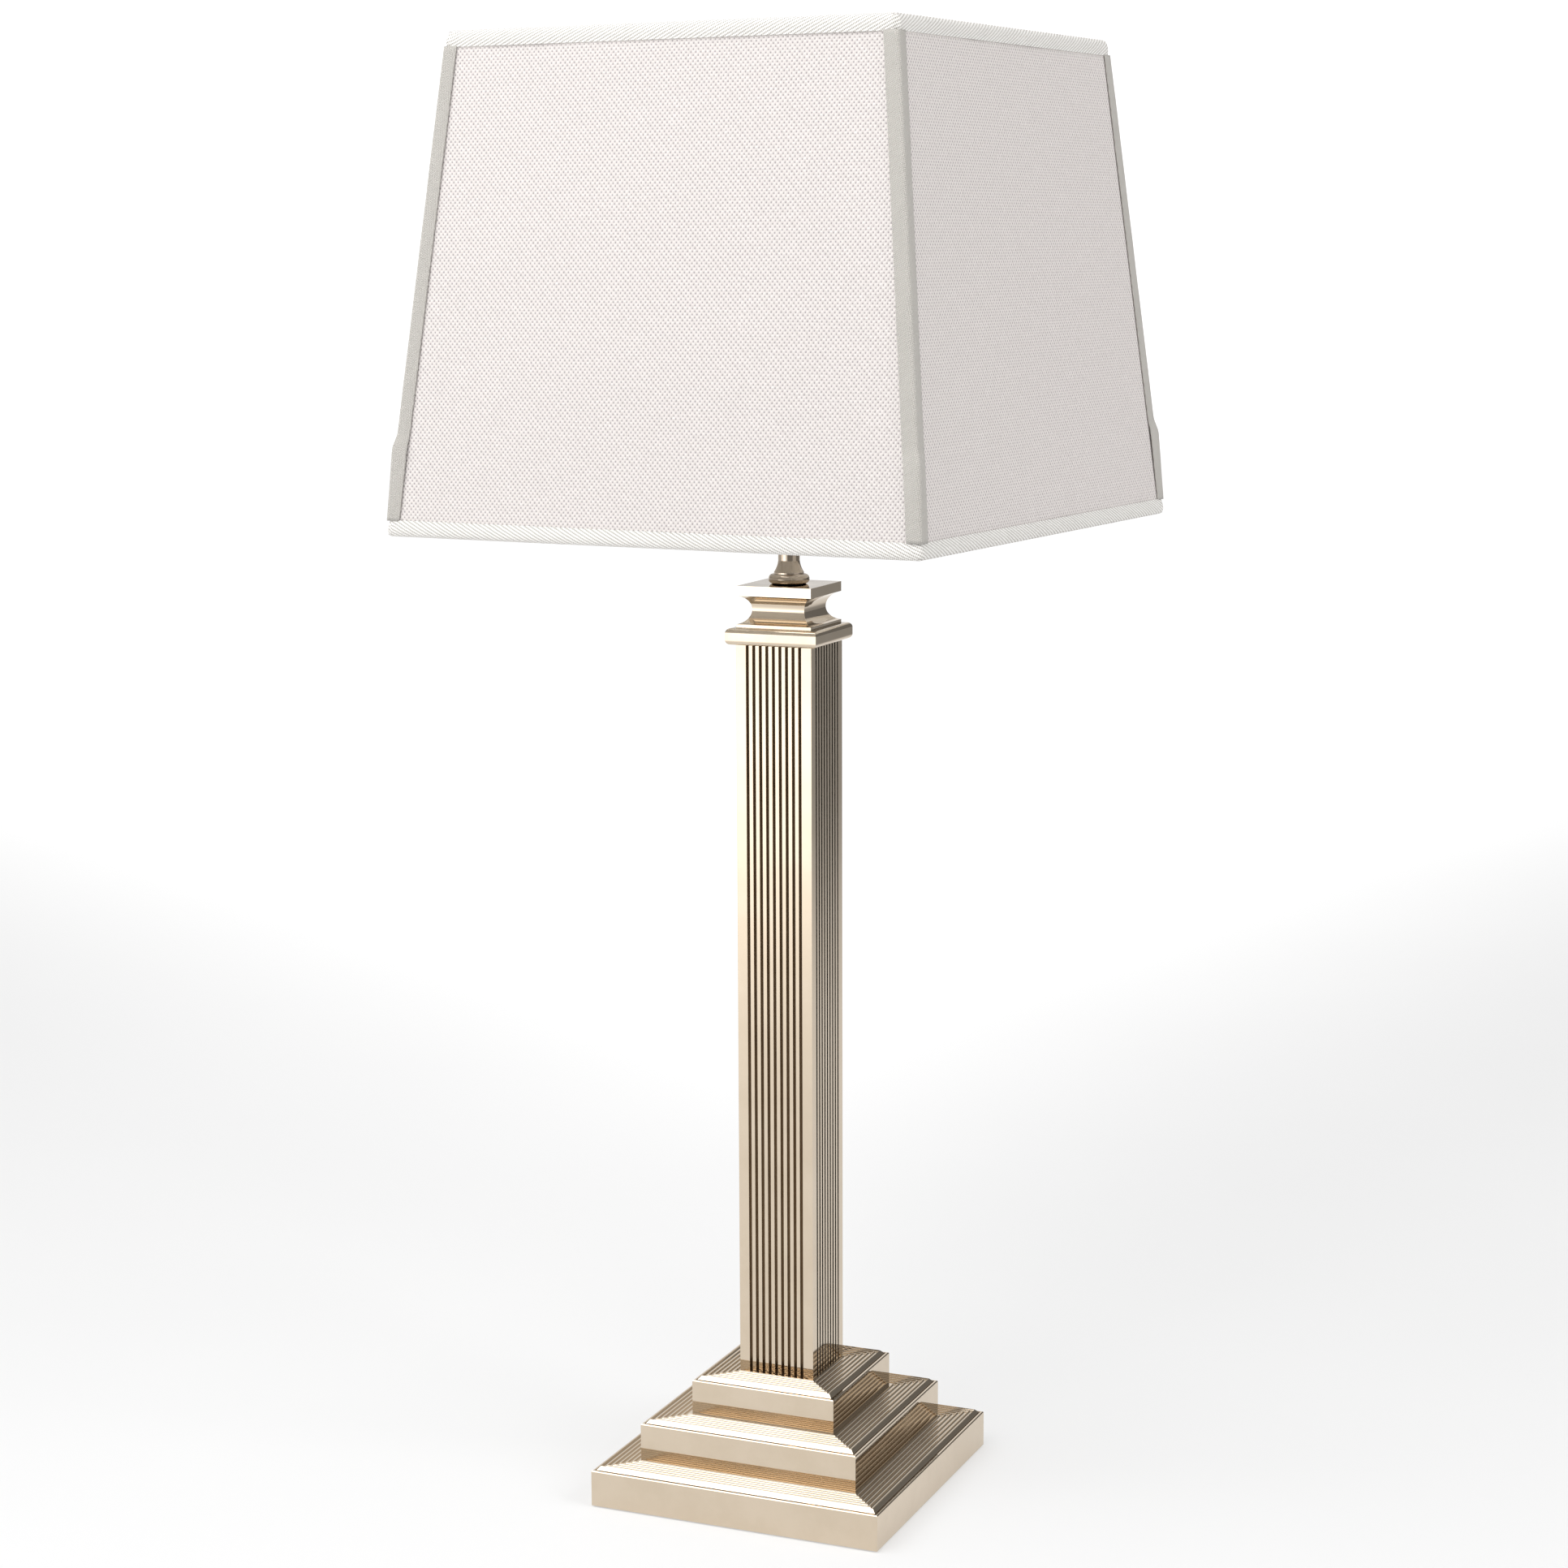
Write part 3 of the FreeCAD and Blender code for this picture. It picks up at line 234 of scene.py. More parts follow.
def rolled_cap_metal():
    """Bright rolled aluminium of the bulb's screw cap, scuffed on the crests."""
    finish = Finish("rolled_cap_metal", Metallic=1.0)
    lines = finish.noise(finish.place((60.0, 60.0, 3000.0)), 1.0, 3.0)
    cloud = finish.noise(finish.place(), 150.0, 4.0)
    tone = finish.mix(cloud.step(0.35, 0.7), rgb(0.79, 0.79, 0.78), rgb(0.66, 0.66, 0.66))
    return finish.show(Base_Color=tone, Roughness=0.22 + lines * 0.16, Normal=finish.bump(lines, 0.01 * MM))


def black_casting():
    """Ballast plate as cast, under thin black paint."""
    finish = Finish("black_casting", Metallic=0.0)
    where = finish.place()
    sand = finish.noise(where, 800.0, 6.0, 0.7)
    lumps = finish.noise(where, 90.0, 3.0)
    tone = finish.mix((sand * 0.6 + lumps * 0.4).step(0.4, 0.65),
                      rgb(0.018, 0.018, 0.019), rgb(0.05, 0.048, 0.046))
    normal = finish.bump(sand * 0.7 + lumps * 0.6, 0.25 * MM, 0.8)
    return finish.show(Base_Color=tone, Roughness=0.5 + sand * 0.3, Normal=normal)


def hardboard():
    """Brown fibre board."""
    finish = Finish("hardboard")
    fibres = finish.noise(finish.place((900.0, 260.0, 700.0)), 1.0, 6.0, 0.7)
    cloud = finish.noise(finish.place(), 40.0, 3.0)
    tone = finish.mix((fibres * 0.7 + cloud * 0.3).step(0.35, 0.68),
                      rgb(0.17, 0.095, 0.05), rgb(0.36, 0.23, 0.13))
    return finish.show(Base_Color=tone, Roughness=0.62 + fibres * 0.2, Normal=finish.bump(fibres, 0.12 * MM))


def black_baize():
    """Felted cloth: a mat of short fibres with a soft nap and specks of lint."""
    finish = Finish("black_baize", Sheen_Weight=0.45, Sheen_Roughness=0.5)
    where = finish.place()
    mat = finish.noise(where, 1500.0, 6.0, 0.75)
    tufts = finish.noise(where, 260.0, 4.0, 0.6)
    lint = finish.node("ShaderNodeTexVoronoi", {"feature": "DISTANCE_TO_EDGE"},
                       {"Vector": where, "Scale": 240.0})
    base = finish.mix((mat * 0.6 + tufts * 0.5).step(0.4, 0.75),
                      rgb(0.010, 0.011, 0.012), rgb(0.045, 0.046, 0.048))
    tone = finish.mix(lint.step(0.02, 0.0) * 0.35, base, rgb(0.12, 0.12, 0.12))
    return finish.show(Base_Color=tone, Roughness=0.92 + mat * 0.06,
                       Normal=finish.bump(mat + tufts, 0.4 * MM))


def moulded_white(name, low, high, rough):
    """White moulded plastic: faint flow marks, a fine spark texture and softened edges."""
    finish = Finish(name, Specular_IOR_Level=0.5)
    where = finish.place()
    flow = finish.noise(finish.place((70.0, 70.0, 25.0)), 1.0, 3.0)
    spark = finish.noise(where, 1600.0, 3.0, 0.6)
    tone = finish.mix(flow.step(0.3, 0.7), rgb(*low), rgb(*high))
    normal = finish.bump(spark * 0.7 + flow * 0.5, 0.012 * MM, 1.0, finish.soft_edges(0.25 * MM))
    return finish.show(Base_Color=tone, Roughness=rough + spark * 0.1, Normal=normal)


def porcelain():
    """Unglazed electrical porcelain."""
    finish = Finish("porcelain")
    where = finish.place()
    pores = finish.node("ShaderNodeTexVoronoi", {}, {"Vector": where, "Scale": 1300.0})
    cloud = finish.noise(where, 100.0, 4.0)
    tone = finish.mix(cloud.step(0.35, 0.7), rgb(0.80, 0.77, 0.70), rgb(0.88, 0.86, 0.81))
    normal = finish.bump(pores.step(0.0, 0.25), 0.03 * MM, 0.7, finish.soft_edges(0.3 * MM))
    return finish.show(Base_Color=tone, Roughness=0.48 + cloud * 0.2, Normal=normal)


def black_glass_insulation():
    """Black vitrite between the bulb's tip and its cap."""
    finish = Finish("black_vitrite", Coat_Weight=0.3)
    where = finish.place()
    cloud = finish.noise(where, 300.0, 4.0)
    tone = finish.mix(cloud.step(0.4, 0.7), rgb(0.012, 0.010, 0.016), rgb(0.05, 0.045, 0.055))
    return finish.show(Base_Color=tone, Roughness=0.16 + cloud * 0.15, Normal=finish.bump(cloud, 0.05 * MM))


def opal_dome():
    """Opal dome of the bulb: milky, smooth, with a trace of flow."""
    finish = Finish("opal_dome", Subsurface_Weight=0.35, Subsurface_Scale=0.008, Specular_IOR_Level=0.5)
    flow = finish.noise(finish.place((30.0, 30.0, 55.0)), 1.0, 3.0)
    tone = finish.mix(flow.step(0.3, 0.7), rgb(0.86, 0.86, 0.84), rgb(0.91, 0.905, 0.89))
    normal = finish.bump(flow, 0.05 * MM, 0.5, finish.soft_edges(0.4 * MM))
    return finish.show(Base_Color=tone, Roughness=0.22 + flow * 0.12, Normal=normal)


def powder_coat():
    """White powder coat on the shade's wires, with its orange-peel skin."""
    finish = Finish("white_powder_coat", Specular_IOR_Level=0.5)
    where = finish.place()
    peel = finish.noise(where, 1100.0, 2.0, 0.4)
    cloud = finish.noise(where, 30.0, 2.0)
    tone = finish.mix(cloud.step(0.3, 0.7), rgb(0.80, 0.79, 0.77), rgb(0.86, 0.855, 0.84))
    return finish.show(Base_Color=tone, Roughness=0.36 + peel * 0.14, Normal=finish.bump(peel, 0.04 * MM))


HOLE_PITCH = 2.6 * MM
TWO_ROWS = 2.84 * MM


def open_weave():
    """Woven shade fabric: slanting threads cross either way and leave staggered pinholes, which are painted
    dark as painted shade;
    the raised knots and one slant of the threads are painted lighter as painted highlights. The two slants
    together make cos(x) cos(y)."""
    finish = Finish("open_weave_fabric", Sheen_Weight=0.15, Sheen_Roughness=0.6)
    where, along, across = finish.cloth_place()
    drift = finish.noise(where, 60.0, 2.0) - 0.5
    wobble = finish.noise(where, 700.0, 1.0) - 0.5
    x = along * (1 / HOLE_PITCH) + drift * 0.35 + wobble * 0.12
    y = across * (1 / TWO_ROWS) + wobble * 0.1
    lattice = x.wave() * y.wave()
    painted_hole_shade = lattice.step(0.28, 0.85)
    knots = (lattice * -1.0).step(0.2, 0.9)
    slant = ((x + y) * 0.5).wave() * 0.5 + 0.5
    slub = finish.noise(finish.stretch(where, (60.0, 900.0, 1.0)), 1.0, 2.0)
    fibre = finish.noise(where, 5200.0, 2.0)
    # Painted highlight: the raised knots where threads cross and the ridges of one slant are painted lighter.
    thread = finish.mix(knots * 0.5 + slant * 0.25 + slub.step(0.35, 0.75) * 0.25,
                        rgb(0.728, 0.681, 0.660), rgb(0.837, 0.790, 0.767))
    # Painted shade: the pinholes are painted a dark brownish grey.
    tone = finish.mix(painted_hole_shade * 0.7, thread, rgb(0.22, 0.185, 0.195))
    height = lattice * -0.5 + knots * 0.25 + slant * 0.3 + fibre * 0.1
    return finish.show(Base_Color=tone, Roughness=0.8 + fibre * 0.12, Normal=finish.bump(height, 0.3 * MM))


def stiff_backing():
    """White plastic backing inside the shade, with a faint calendered grain."""
    finish = Finish("stiff_white_backing", Specular_IOR_Level=0.4)
    where = finish.cloth_place()[0]
    grain = finish.noise(where, 1500.0, 2.0)
    cloud = finish.noise(where, 14.0, 3.0)
    tone = finish.mix(cloud.step(0.3, 0.7), rgb(0.80, 0.79, 0.77), rgb(0.85, 0.845, 0.83))
    return finish.show(Base_Color=tone, Roughness=0.5 + grain * 0.15, Normal=finish.bump(grain, 0.03 * MM))


def twill(name, slant, pitch, crossing, low, high):
    """Twill tape: ribs that slant across the tape, each broken by the finer threads that cross it. The
    valleys between them are painted dark as painted shade and the crests light as painted highlight.
    """
    finish = Finish(name, Sheen_Weight=0.2, Sheen_Roughness=0.55)
    where, along, across = finish.cloth_place()
    wobble = finish.noise(where, 420.0, 2.0) - 0.5
    rib = ((along + across * slant) * (1 / pitch) + wobble * 0.3).wave() * 0.5 + 0.5
    cross = ((along - across * 0.5) * (1 / crossing) + wobble * 0.3).wave() * 0.5 + 0.5
    fibre = finish.noise(where, 5200.0, 2.0)
    cloud = finish.noise(where, 45.0, 2.0)
    ribs = rib * 0.58 + cross * 0.42
    # Painted shade and highlight: the tape goes from the low colour in the valleys to the high colour on the
    # crests.
    tone = finish.mix((ribs * 0.9 + cloud * 0.1).step(0.05, 0.65), rgb(*low), rgb(*high))
    return finish.show(Base_Color=tone, Roughness=0.84 + fibre * 0.1,
                       Normal=finish.bump(ribs + fibre * 0.15, 0.34 * MM))


FINISHES = {
    "nickel": polished_nickel("champagne_nickel"),
    "dark_nickel": neck_nickel(),
    "baize": black_baize(),
    "board": hardboard(),
    "ballast": black_casting(),
    "bush": moulded_white("clear_grey_bush", (0.52, 0.51, 0.48), (0.60, 0.59, 0.56), 0.3),
    "zinc": zinc_plate(),
    "brass": plain_brass(),
    "white_plastic": moulded_white("white_plastic", (0.80, 0.795, 0.775), (0.855, 0.85, 0.835), 0.24),
    "porcelain": porcelain(),
    "bulb_insulation": black_glass_insulation(),
    "cap_metal": rolled_cap_metal(),
    "opal": opal_dome(),
    "white_wire": powder_coat(),
    "shade_fabric": open_weave(),
    # The rim tape's low colour is painted shade in the twill's valleys.
    "shade_tape": twill("rim_twill", 2.15, 3.55 * MM, 1.05 * MM, (0.40, 0.37, 0.33), (0.95, 0.935, 0.905)),
}
backing = stiff_backing()
# The corner tape's low colour is painted shade in the twill's valleys.
corner_twill = twill("corner_twill", 8.3, 5.8 * MM, 0.9 * MM, (0.442, 0.421, 0.385), (0.612, 0.586, 0.545))

# A hollow is (start, end, top, bottom), where the nickel is painted darker as painted shade: a flute just
# inside the column's face at every level, and a step's rebate just inside and below its lip.
ABOVE_COLUMN = (1.0, 0.9)
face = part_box("column")[1].x
SHADED_HOLLOWS = {"column": (face - 0.05 * MM, face - 0.5 * MM, *ABOVE_COLUMN)}
for name in ("lower_step", "middle_step", "upper_step"):
    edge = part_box(name)[1]
    SHADED_HOLLOWS[name] = (edge.x - 1.45 * MM, edge.x - 1.6 * MM, edge.z - 1.85 * MM, edge.z - 2.1 * MM)

for entry in frame["record"]["subparts"]:
    name = entry["node"]
    node = frame["nodes"][name]
    node.data.materials.clear()
    node.data.materials.append(polished_nickel(name + "_nickel", SHADED_HOLLOWS[name]) if name in SHADED_HOLLOWS
                               else FINISHES[entry["material_slot"]])


# ---------------------------------------------------------------- surfaces

def surface(name, points, finishes, cloth=None, closed=(False, False)):
    """Quads over a grid of points (rows, columns, 3), joined up in the directions that are closed.
    cloth is the place of each grid corner on the flat cloth; it has one more row or column where closed."""
    rows, columns = points.shape[:2]
    row, column = np.meshgrid(np.arange(rows - 1 + closed[0]), np.arange(columns - 1 + closed[1]),
                              indexing="ij")
    corners = [(row.ravel() + down, column.ravel() + over) for down, over in ((0, 0), (0, 1), (1, 1), (1, 0))]
    loops = np.stack([r % rows * columns + c % columns for r, c in corners], axis=1)
    mesh = bpy.data.meshes.new(name)
    mesh.vertices.add(rows * columns)
    mesh.vertices.foreach_set("co", points.astype(np.float32).ravel())
    mesh.loops.add(loops.size)
    mesh.loops.foreach_set("vertex_index", loops.astype(np.int32).ravel())
    mesh.polygons.add(len(loops))
    mesh.polygons.foreach_set("loop_start", np.arange(0, loops.size, 4, dtype=np.int32))
    mesh.polygons.foreach_set("use_smooth", np.ones(len(loops), bool))
    if cloth is not None:
        flat = np.stack([cloth[r, c] for r, c in corners], axis=1)
        mesh.uv_layers.new(name="cloth").data.foreach_set("uv", flat.astype(np.float32).ravel())
    mesh.update(calc_edges=True)
    piece = bpy.data.objects.new(name, mesh)
    bpy.context.scene.collection.objects.link(piece)
    for finish in finishes:
        mesh.materials.append(finish)
    return piece


def thicken(piece, thickness, inside=0):
    """Gives a sheet its thickness, inwards. The inside may have its own finish."""
    solid = piece.modifiers.new("thickness", "SOLIDIFY")
    solid.thickness = thickness
    solid.offset = -1.0
    solid.use_even_offset = True
    solid.material_offset = inside


def curve_through(points, count):
    """Catmull-Rom curve through the points, as count points evenly spaced in its parameter."""
    points = np.asarray(points, float)
    ends = np.vstack([2 * points[0] - points[1], points, 2 * points[-1] - points[-2]])
    where = np.linspace(0, len(points) - 1, count)
    first = np.minimum(where.astype(int), len(points) - 2)
    t = (where - first)[:, None]
    a, b, c, d = (ends[first + i] for i in range(4))
    return 0.5 * (2 * b + (c - a) * t + (2 * a - 5 * b + 4 * c - d) * t ** 2
                  + (3 * b - a - 3 * c + d) * t ** 3)


def ease(x, low, high):
    """Smooth step from 0 at low to 1 at high."""
    t = np.clip((x - low) / (high - low), 0, 1)
    return t * t * (3 - 2 * t)


def ripple(x, y, pitch, seed):
    """Three sine waves of unlike length, about -1 to 1."""
    a, b, c = np.random.default_rng(seed).uniform(0, TURN, 3)
    return (np.sin(TURN * x / pitch + a) + np.sin(TURN * (x * 0.61 + y) / pitch + b)
            + np.sin(TURN * (y * 1.7 - x * 0.37) / pitch + c)) / 3


# ---------------------------------------------------------------- shade

SHADE_TURN = -5.4  # degrees
BOTTOM_HALF = 150.25 * MM
TOP_HALF = 124.5 * MM
SHADE_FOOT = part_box("shade_bottom_binding")[0].z
SHADE_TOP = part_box("shade_top_binding")[1].z
SHADE_HEIGHT = SHADE_TOP - SHADE_FOOT
SLOPE = (BOTTOM_HALF - TOP_HALF) / SHADE_HEIGHT
LEAN = math.hypot(1, SLOPE)
PANEL_INSET = 0.8 * MM
PANEL_EDGE = 2.0 * MM
PANEL_THICKNESS = 1.0 * MM
PANEL_BOW = 0.35 * MM
PANEL_RIPPLE = 0.28 * MM
RIPPLE_PITCH = 150 * MM
RIM_CORNER = 3.4 * MM
RIM_CORNER_LEAST = 0.5 * MM
RIM_TAPE_THICKNESS = 0.5 * MM
CORNER_TAPE_THICKNESS = 0.45 * MM
KINK_LEVEL = 45.3 * MM
KINK_DEPTH = 1.9 * MM


def shade_half(level):
    """Half the shade's width over its bindings at a level above the bottom rim."""
    return BOTTOM_HALF - SLOPE * level


def on_shade(points, quarter=0):
    """Turns points round the lamp by quarters and the shade's own turn, and lifts them to the shade."""
    angle = math.radians(SHADE_TURN + 90 * quarter)
    x, y, z = np.moveaxis(points, -1, 0)
    return np.stack([x * math.cos(angle) - y * math.sin(angle),
                     x * math.sin(angle) + y * math.cos(angle), z + SHADE_FOOT], axis=-1)


def fabric_panel(node, quarter):
    """One panel that leans in: across s from -1 to 1 and up t from 0 to 1, x = s (half - edge) and
    y = -(half - inset) + bow. The bow inwards is nothing at the edges and at most 0.63 mm."""
    margin = PANEL_INSET
    t, s = np.meshgrid(np.linspace(0, 1, 56), np.linspace(-1, 1, 64), indexing="ij")
    level = margin + t * (SHADE_HEIGHT - 2 * margin)
    x = s * (shade_half(level) - PANEL_EDGE)
    calm = (1 - s ** 6) * (1 - (2 * t - 1) ** 6)
    bow = calm * (PANEL_BOW + PANEL_RIPPLE * ripple(x, level, RIPPLE_PITCH, 10 + quarter))
    y = -(shade_half(level) - PANEL_INSET) + bow
    cloth = np.stack([x, level * LEAN], axis=-1)
    piece = surface(node + "_cloth", on_shade(np.stack([x, y, level], axis=-1), quarter),
                    (FINISHES["shade_fabric"], backing), cloth)
    thicken(piece, PANEL_THICKNESS, 1)
    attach(piece, "shade")
    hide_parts(node)
    low, high = shade_half(margin) - PANEL_EDGE, shade_half(SHADE_HEIGHT - margin) - PANEL_EDGE
    tall = (SHADE_HEIGHT - 2 * margin) * LEAN
    2 * low
    (low + high) * tall


def square_path(side_steps, corner_steps):
    """Once round a unit square whose corners are rounded: for each step, its place on the square's sides and
    the outward direction there. Along a side the place moves and the direction stays; round a corner the
    direction turns and the place stays."""
    along = np.linspace(-1, 1, side_steps)
    angle = np.linspace(0, math.pi / 2, corner_steps + 2)[1:-1]
    place = np.vstack([np.column_stack([along, -np.ones_like(along)]),
                       np.tile((1.0, -1.0), (corner_steps, 1))])
    way = np.vstack([np.tile((0.0, -1.0), (side_steps, 1)), np.column_stack([np.sin(angle), -np.cos(angle)])])
    turns = [np.array([[math.cos(q * math.pi / 2), -math.sin(q * math.pi / 2)],
                       [math.sin(q * math.pi / 2), math.cos(q * math.pi / 2)]]) for q in range(4)]
    return np.vstack([place @ turn.T for turn in turns]), np.vstack([way @ turn.T for turn in turns])


RIM_PROFILE = (  # (inset from the outside, height above the rim) in millimetres, inside edge to outside edge
    (2.45, 8.3), (2.75, 7.0), (3.7, 5.6), (4.9, 4.7), (5.5, 3.6), (5.62, 2.3), (5.3, 1.1), (4.5, 0.35),
    (3.3, 0.02), (2.0, 0.12), (0.9, 0.75), (0.15, 1.9), (-0.18, 3.4), (-0.22, 5.0), (0.0, 6.6), (0.22, 7.7),
    (0.3, 8.4),
)


def rim_tape(node, at_top, seed):
    """Tape folded over a rim: the profile carried round a square with rounded corners.
    A point is place (half - inset - r) + direction r, where r is the corner's radius less the inset;
    slow ripples swell and thin the fold, and it puckers round the corners."""
    place, way = square_path(64, 9)
    profile = curve_through(RIM_PROFILE, 46) * MM
    inset, height = profile[:, 0][:, None], profile[:, 1][:, None]
    level = SHADE_HEIGHT - height if at_top else height
    radius = np.maximum(RIM_CORNER - inset, RIM_CORNER_LEAST)
    step = np.hypot(*(np.roll(place, -1, 0) - place).T * shade_half(level.mean()))
    step += np.hypot(*(np.roll(way, -1, 0) - way).T) * RIM_CORNER
    run = np.concatenate([[0], np.cumsum(step)])
    corner = ease(np.abs(place).min(1), 0.93, 1.0)
    swell = (0.16 * ripple(run[:-1], height, 58 * MM, seed)
             + 0.07 * ripple(run[:-1], height * 2, 13 * MM, seed + 1))
    swell = swell + corner * 0.16 * np.sin(run[:-1] / (2.4 * MM) * math.pi + height / (5 * MM))
    outside = ease(height, 0.0, 4 * MM) * ease(-inset, -3.2 * MM, -1.0 * MM)
    inset = inset - swell * MM * outside
    core = shade_half(level) - inset - radius
    x = core * place[:, 0] + radius * way[:, 0]
    y = core * place[:, 1] + radius * way[:, 1]
    points = np.stack([x, y, np.broadcast_to(level, x.shape)], axis=-1)
    across = np.concatenate([[0], np.cumsum(np.hypot(*np.diff(profile, axis=0).T))])
    cloth = np.stack(np.meshgrid(run, across), axis=-1)
    if at_top:
        points, cloth = points[::-1], cloth[::-1]
    piece = surface(node + "_tape", on_shade(points), (FINISHES["shade_tape"],), cloth, (False, True))
    thicken(piece, RIM_TAPE_THICKNESS)
    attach(piece, "shade")
    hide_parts(node)


def corner_tape(node, quarter, seed):
    """Tape folded down a corner: an L with a rounded ridge, w across from -reach to reach, its edges
    pressed to the panels. The corner leans out more and more from the bottom rim up to the arm's level,
    and just above that it steps back in."""
    reach, ridge = 7.35 * MM, 1.3 * MM
    edge = 8.0 * MM
    level, w = np.meshgrid(np.linspace(edge, SHADE_HEIGHT - edge, 120), np.linspace(-1, 1, 31) * reach,
                           indexing="ij")
    arc = ridge * math.pi / 2
    angle = np.clip(w / (arc / 2), -1, 1) * math.pi / 4 + math.pi / 4
    straight = np.sign(w) * np.maximum(np.abs(w) - arc / 2, 0)
    press = 0.42 * MM * ease(np.abs(w), 0.45 * reach, reach)
    lift = 0.07 * MM * ripple(w * 4, level, 60 * MM, seed)
    half = shade_half(level) - ridge
    r = ridge - press + lift
    x = half + r * np.sin(angle) + np.minimum(straight, 0)
    y = -half - r * np.cos(angle) + np.maximum(straight, 0)
    kink = ease(KINK_LEVEL + 7 * MM - level, 0, 9 * MM) * np.clip((level - edge) / (KINK_LEVEL - edge), 0, 1)
    out = KINK_DEPTH * kink * (1 - (w / (1.25 * reach)) ** 2)
    points = np.stack([x + out * 0.7, y - out * 0.7, level], axis=-1)
    cloth = np.stack([level * LEAN, w], axis=-1)
    piece = surface(node + "_tape", on_shade(points, quarter), (corner_twill,), cloth)
    piece.data.flip_normals()
    thicken(piece, CORNER_TAPE_THICKNESS)
    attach(piece, "shade")
    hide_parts(node)


for quarter, side in enumerate(("front", "right", "back", "left")):
    fabric_panel(f"shade_panel_{side}", quarter)
    corner_tape(f"shade_corner_binding_{quarter + 1}", quarter, 40 + quarter)
rim_tape("shade_bottom_binding", False, 60)
rim_tape("shade_top_binding", True, 70)


# ---------------------------------------------------------------- baize and threads

BAIZE_THICKNESS = 1.35 * MM


def baize_sheet():
    """Square of baize under the base, its cut edge a little uneven."""
    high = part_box("baize_pad")[1]
    half = high.x - 0.1 * MM
    t, s = np.meshgrid(np.linspace(-1, 1, 60), np.linspace(-1, 1, 60), indexing="ij")
    edge = np.maximum(np.abs(s), np.abs(t)) ** 30
    trim = 1 - edge * (0.0012 + 0.0012 * ripple(s, t, 0.4, 5))
    z = high.z - 0.04 * MM + 0.03 * MM * ripple(s, t, 0.31, 6)
    x, y = half * s * trim, half * t * trim
    piece = surface("baize_sheet", np.stack([x, y, z], axis=-1), (FINISHES["baize"],),
                    np.stack([x, y], axis=-1))
    thicken(piece, BAIZE_THICKNESS)
    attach(piece, "stand")
    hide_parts("baize_pad")


def tube_side(radius, low, high, rows, share):
    """Points straight along a tube wall, in millimetres: radius, height, and share of the thread, which
    fades out at both ends."""
    z = np.linspace(low, high, rows)
    foot, top = min(low, high), max(low, high)
    fade = share * ease(z, foot + 0.6, foot + 2.0) * ease(-z, -(top - 0.6), -(top - 2.0))
    return np.column_stack([np.full(rows, radius), z, fade])


def screw(name, profile, thread, pitch, body, node, slot_name):
    """Closed profile (radius, height, share of the thread) in millimetres, up the outside and down the
    inside, turned round the lamp's axis. At height z and angle a the radius is
    r - thread share (1 - cos(2 pi z / pitch - a)) / 2."""
    angle = np.linspace(0, TURN, 72, endpoint=False)
    r, z, share = (column[:, None] for column in np.vstack(profile).T)
    radius = r - thread * share * (1 - np.cos(TURN * z / pitch - angle)) / 2
    points = np.stack([radius * np.cos(angle), radius * np.sin(angle), np.broadcast_to(z, radius.shape)],
                      axis=-1)
    piece = surface(name, points * MM, (FINISHES[slot_name],), closed=(True, True))
    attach(piece, body)
    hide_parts(node)


screw("holder_sleeve_screw", (
    tube_side(19.9, 562.15, 591.6, 120, 1.0), (19.6, 592, 0), (15.45, 592, 0), (15.3, 591.8, 0),
    (15.3, 590.8, 0), (15.4, 590.7, 0), (18.5, 590.7, 0), tube_side(18.6, 590.6, 562.15, 12, 0.0),
    (18.75, 562, 0), (19.75, 562, 0),
), thread=0.75, pitch=2.5, body="stand", node="holder_sleeve", slot_name="white_plastic")
screw("holder_shell_screw", (
    (16.1, 566, 0), (16.7, 566.05, 0), (16.7, 566.55, 0), (14.5, 566.6, 0),
    tube_side(14.3, 566.8, 588.9, 90, 1.0), (14.2, 589, 0), (13.8, 589, 0),
    tube_side(13.7, 588.9, 566.1, 90, 1.0), (13.75, 566, 0),
), thread=0.6, pitch=3.6, body="stand", node="holder_screw_shell", slot_name="brass")
screw("bulb_cap_screw", (
    (4.7, 575, 0), (11.9, 575, 0), (12.7, 575.3, 0), tube_side(13.0, 576, 595.9, 90, 1.0),
    (12.95, 596, 0), (12.45, 596, 0), tube_side(12.4, 595.9, 575.8, 90, 1.0), (12.2, 575.6, 0),
    (4.6, 575.6, 0), (4.6, 575.1, 0),
), thread=1.0, pitch=3.6, body="bulb", node="bulb_cap", slot_name="cap_metal")
baize_sheet()


# ---------------------------------------------------------------- studio

def area_light(name, place, aim, size, power):
    """Rectangular soft box that faces a point."""
    data = bpy.data.lights.new(name, "AREA")
    data.shape = "RECTANGLE"
    data.size, data.size_y = size
    data.energy = power
    light = bpy.data.objects.new(name, data)
    light.location = place
    light.rotation_euler = (Vector(place) - Vector(aim)).to_track_quat("Z", "Y").to_euler()
    bpy.context.scene.collection.objects.link(light)


ROOM_LIGHT = 0.60
ROOM_PARTS = (  # azimuth and elevation, radius of the full change and of its end, light gained or lost
    ((-168, 25), 13, 24, 0.34),
    ((146, 14), 27, 48, -0.42),
    ((28, 10), 8, 42, -0.32),
)
FLOOR_GLOW = 0.46
FLOOR_PARTS = (  # azimuth, distances where the change starts and where it is full, glow gained or lost
    (-157, 0.15, 1.80, 0.34),
    (-30, 0.45, 2.40, 1.20),
    (140, 0.50, 1.50, -0.42),
    (25, 0.22, 1.60, -0.42),
)
FLOOR_RADIUS = 9
FLOOR_SIDES = 96
BACKDROP_AZIMUTH = -157
BACKDROP_LIGHT = 0.6
LAMP_MIDDLE = (0, 0, 0.3)
CAMERA_PLACE = (0.6575, -1.5568, 0.6669)
CAMERA_TURN = 23.0  # degrees
CAMERA_DROP = 9.483  # degrees
CAMERA_ROLL = -0.004  # radians
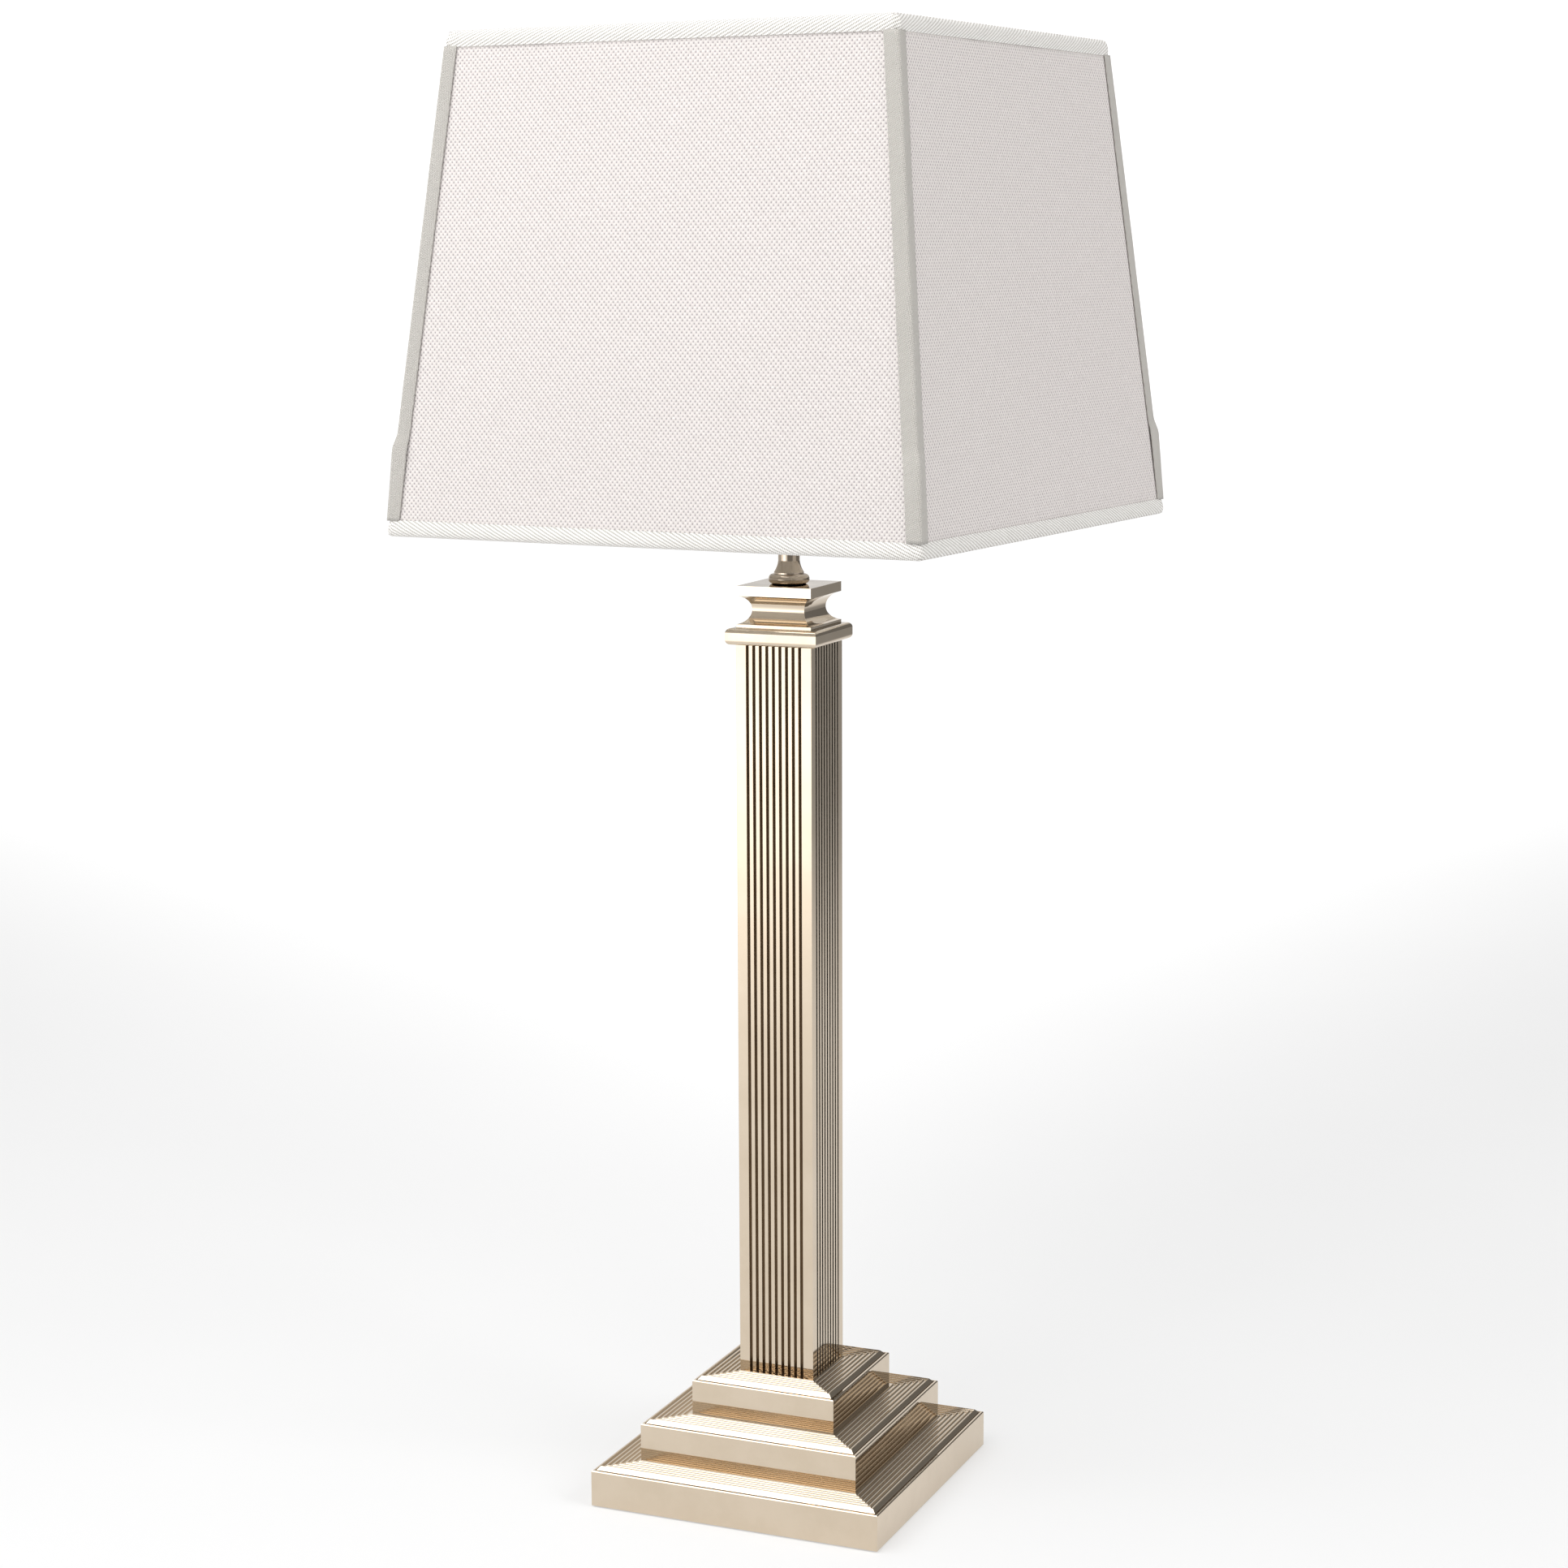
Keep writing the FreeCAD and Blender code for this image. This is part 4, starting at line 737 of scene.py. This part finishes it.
CAMERA_LENS = 74.344
CAMERA_SENSOR = 36.0
SOFT_BOXES = (  # name, azimuth and elevation, distance, size, watts
    ("top_soft_box", (-34, 56), 2.2, (2.2, 1.7), 30),
    ("low_left_box", (-27, 3), 3.2, (1.6, 0.7), 4.5),
    ("front_soft_box", (-4, 38), 2.6, (1.4, 1.0), 7),
    ("right_soft_box", (82, 34), 2.6, (1.4, 1.4), 24),
)


def direction(azimuth, elevation):
    """Way to a point at an azimuth (0 in front of the lamp, 90 to its right) and elevation, in degrees."""
    a, e = math.radians(azimuth), math.radians(elevation)
    return (math.sin(a) * math.cos(e), -math.cos(a) * math.cos(e), math.sin(e))


def studio():
    """Pale floor, room light, a white backdrop behind the lamp as the camera sees it, soft boxes, camera."""
    scene = bpy.context.scene
    scene.view_settings.view_transform = "Standard"

    mesh = bpy.data.meshes.new("floor")
    ring = np.linspace(0, TURN, FLOOR_SIDES, endpoint=False)
    corners = np.column_stack([FLOOR_RADIUS * np.cos(ring), FLOOR_RADIUS * np.sin(ring),
                               np.zeros(FLOOR_SIDES)])
    mesh.from_pydata(corners.tolist(), [], [list(range(FLOOR_SIDES))])
    floor = bpy.data.objects.new("floor", mesh)
    scene.collection.objects.link(floor)
    finish = Finish("pale_floor", Specular_IOR_Level=0.0, Roughness=1.0, Emission_Strength=1.0)
    where = finish.place()
    cloud = finish.noise(where, 3.0, 2.0)
    glow = FLOOR_GLOW
    for azimuth, start, full, change in FLOOR_PARTS:
        aside = finish.dot(where, direction(azimuth + 90, 0)).maths("ABSOLUTE")
        glow = (finish.dot(where, direction(azimuth, 0)) - aside).step(start, full) * change + glow
    tone = finish.mix(cloud, rgb(0.44, 0.44, 0.44), rgb(0.46, 0.46, 0.46))
    mesh.materials.append(finish.show(Base_Color=tone, Emission_Color=glow.maths("MAXIMUM", 0.0)))

    world = bpy.data.worlds.new("studio")
    scene.world = world
    world.use_nodes = True
    room = Nodes(world.node_tree)
    toward = room.node("ShaderNodeTexCoord", output="Generated")
    light = ROOM_LIGHT
    for (azimuth, elevation), full, end, change in ROOM_PARTS:
        near = room.dot(toward, direction(azimuth, elevation))
        light = near.step(math.cos(math.radians(end)), math.cos(math.radians(full))) * change + light
    ahead = room.dot(toward, direction(BACKDROP_AZIMUTH, 0)).step(0.80, 0.93)
    light = light + ahead * room.dot(toward, (0, 0, 1)).step(0.105, 0.08) * BACKDROP_LIGHT
    room.fill(world.node_tree.nodes["Background"], {"Color": light})

    for name, (azimuth, elevation), distance, size, power in SOFT_BOXES:
        place = Vector(LAMP_MIDDLE) + distance * Vector(direction(azimuth, elevation))
        area_light(name, place, LAMP_MIDDLE, size, power)

    data = bpy.data.cameras.new("camera")
    data.lens, data.sensor_width = CAMERA_LENS, CAMERA_SENSOR
    data.clip_start, data.clip_end = 0.05, 50.0
    camera = bpy.data.objects.new("camera", data)
    camera.matrix_world = (Matrix.Translation(CAMERA_PLACE)
                           @ Matrix.Rotation(math.radians(CAMERA_TURN), 4, "Z")
                           @ Matrix.Rotation(math.radians(90 - CAMERA_DROP), 4, "X")
                           @ Matrix.Rotation(CAMERA_ROLL, 4, "Z"))
    scene.collection.objects.link(camera)
    scene.camera = camera


studio()
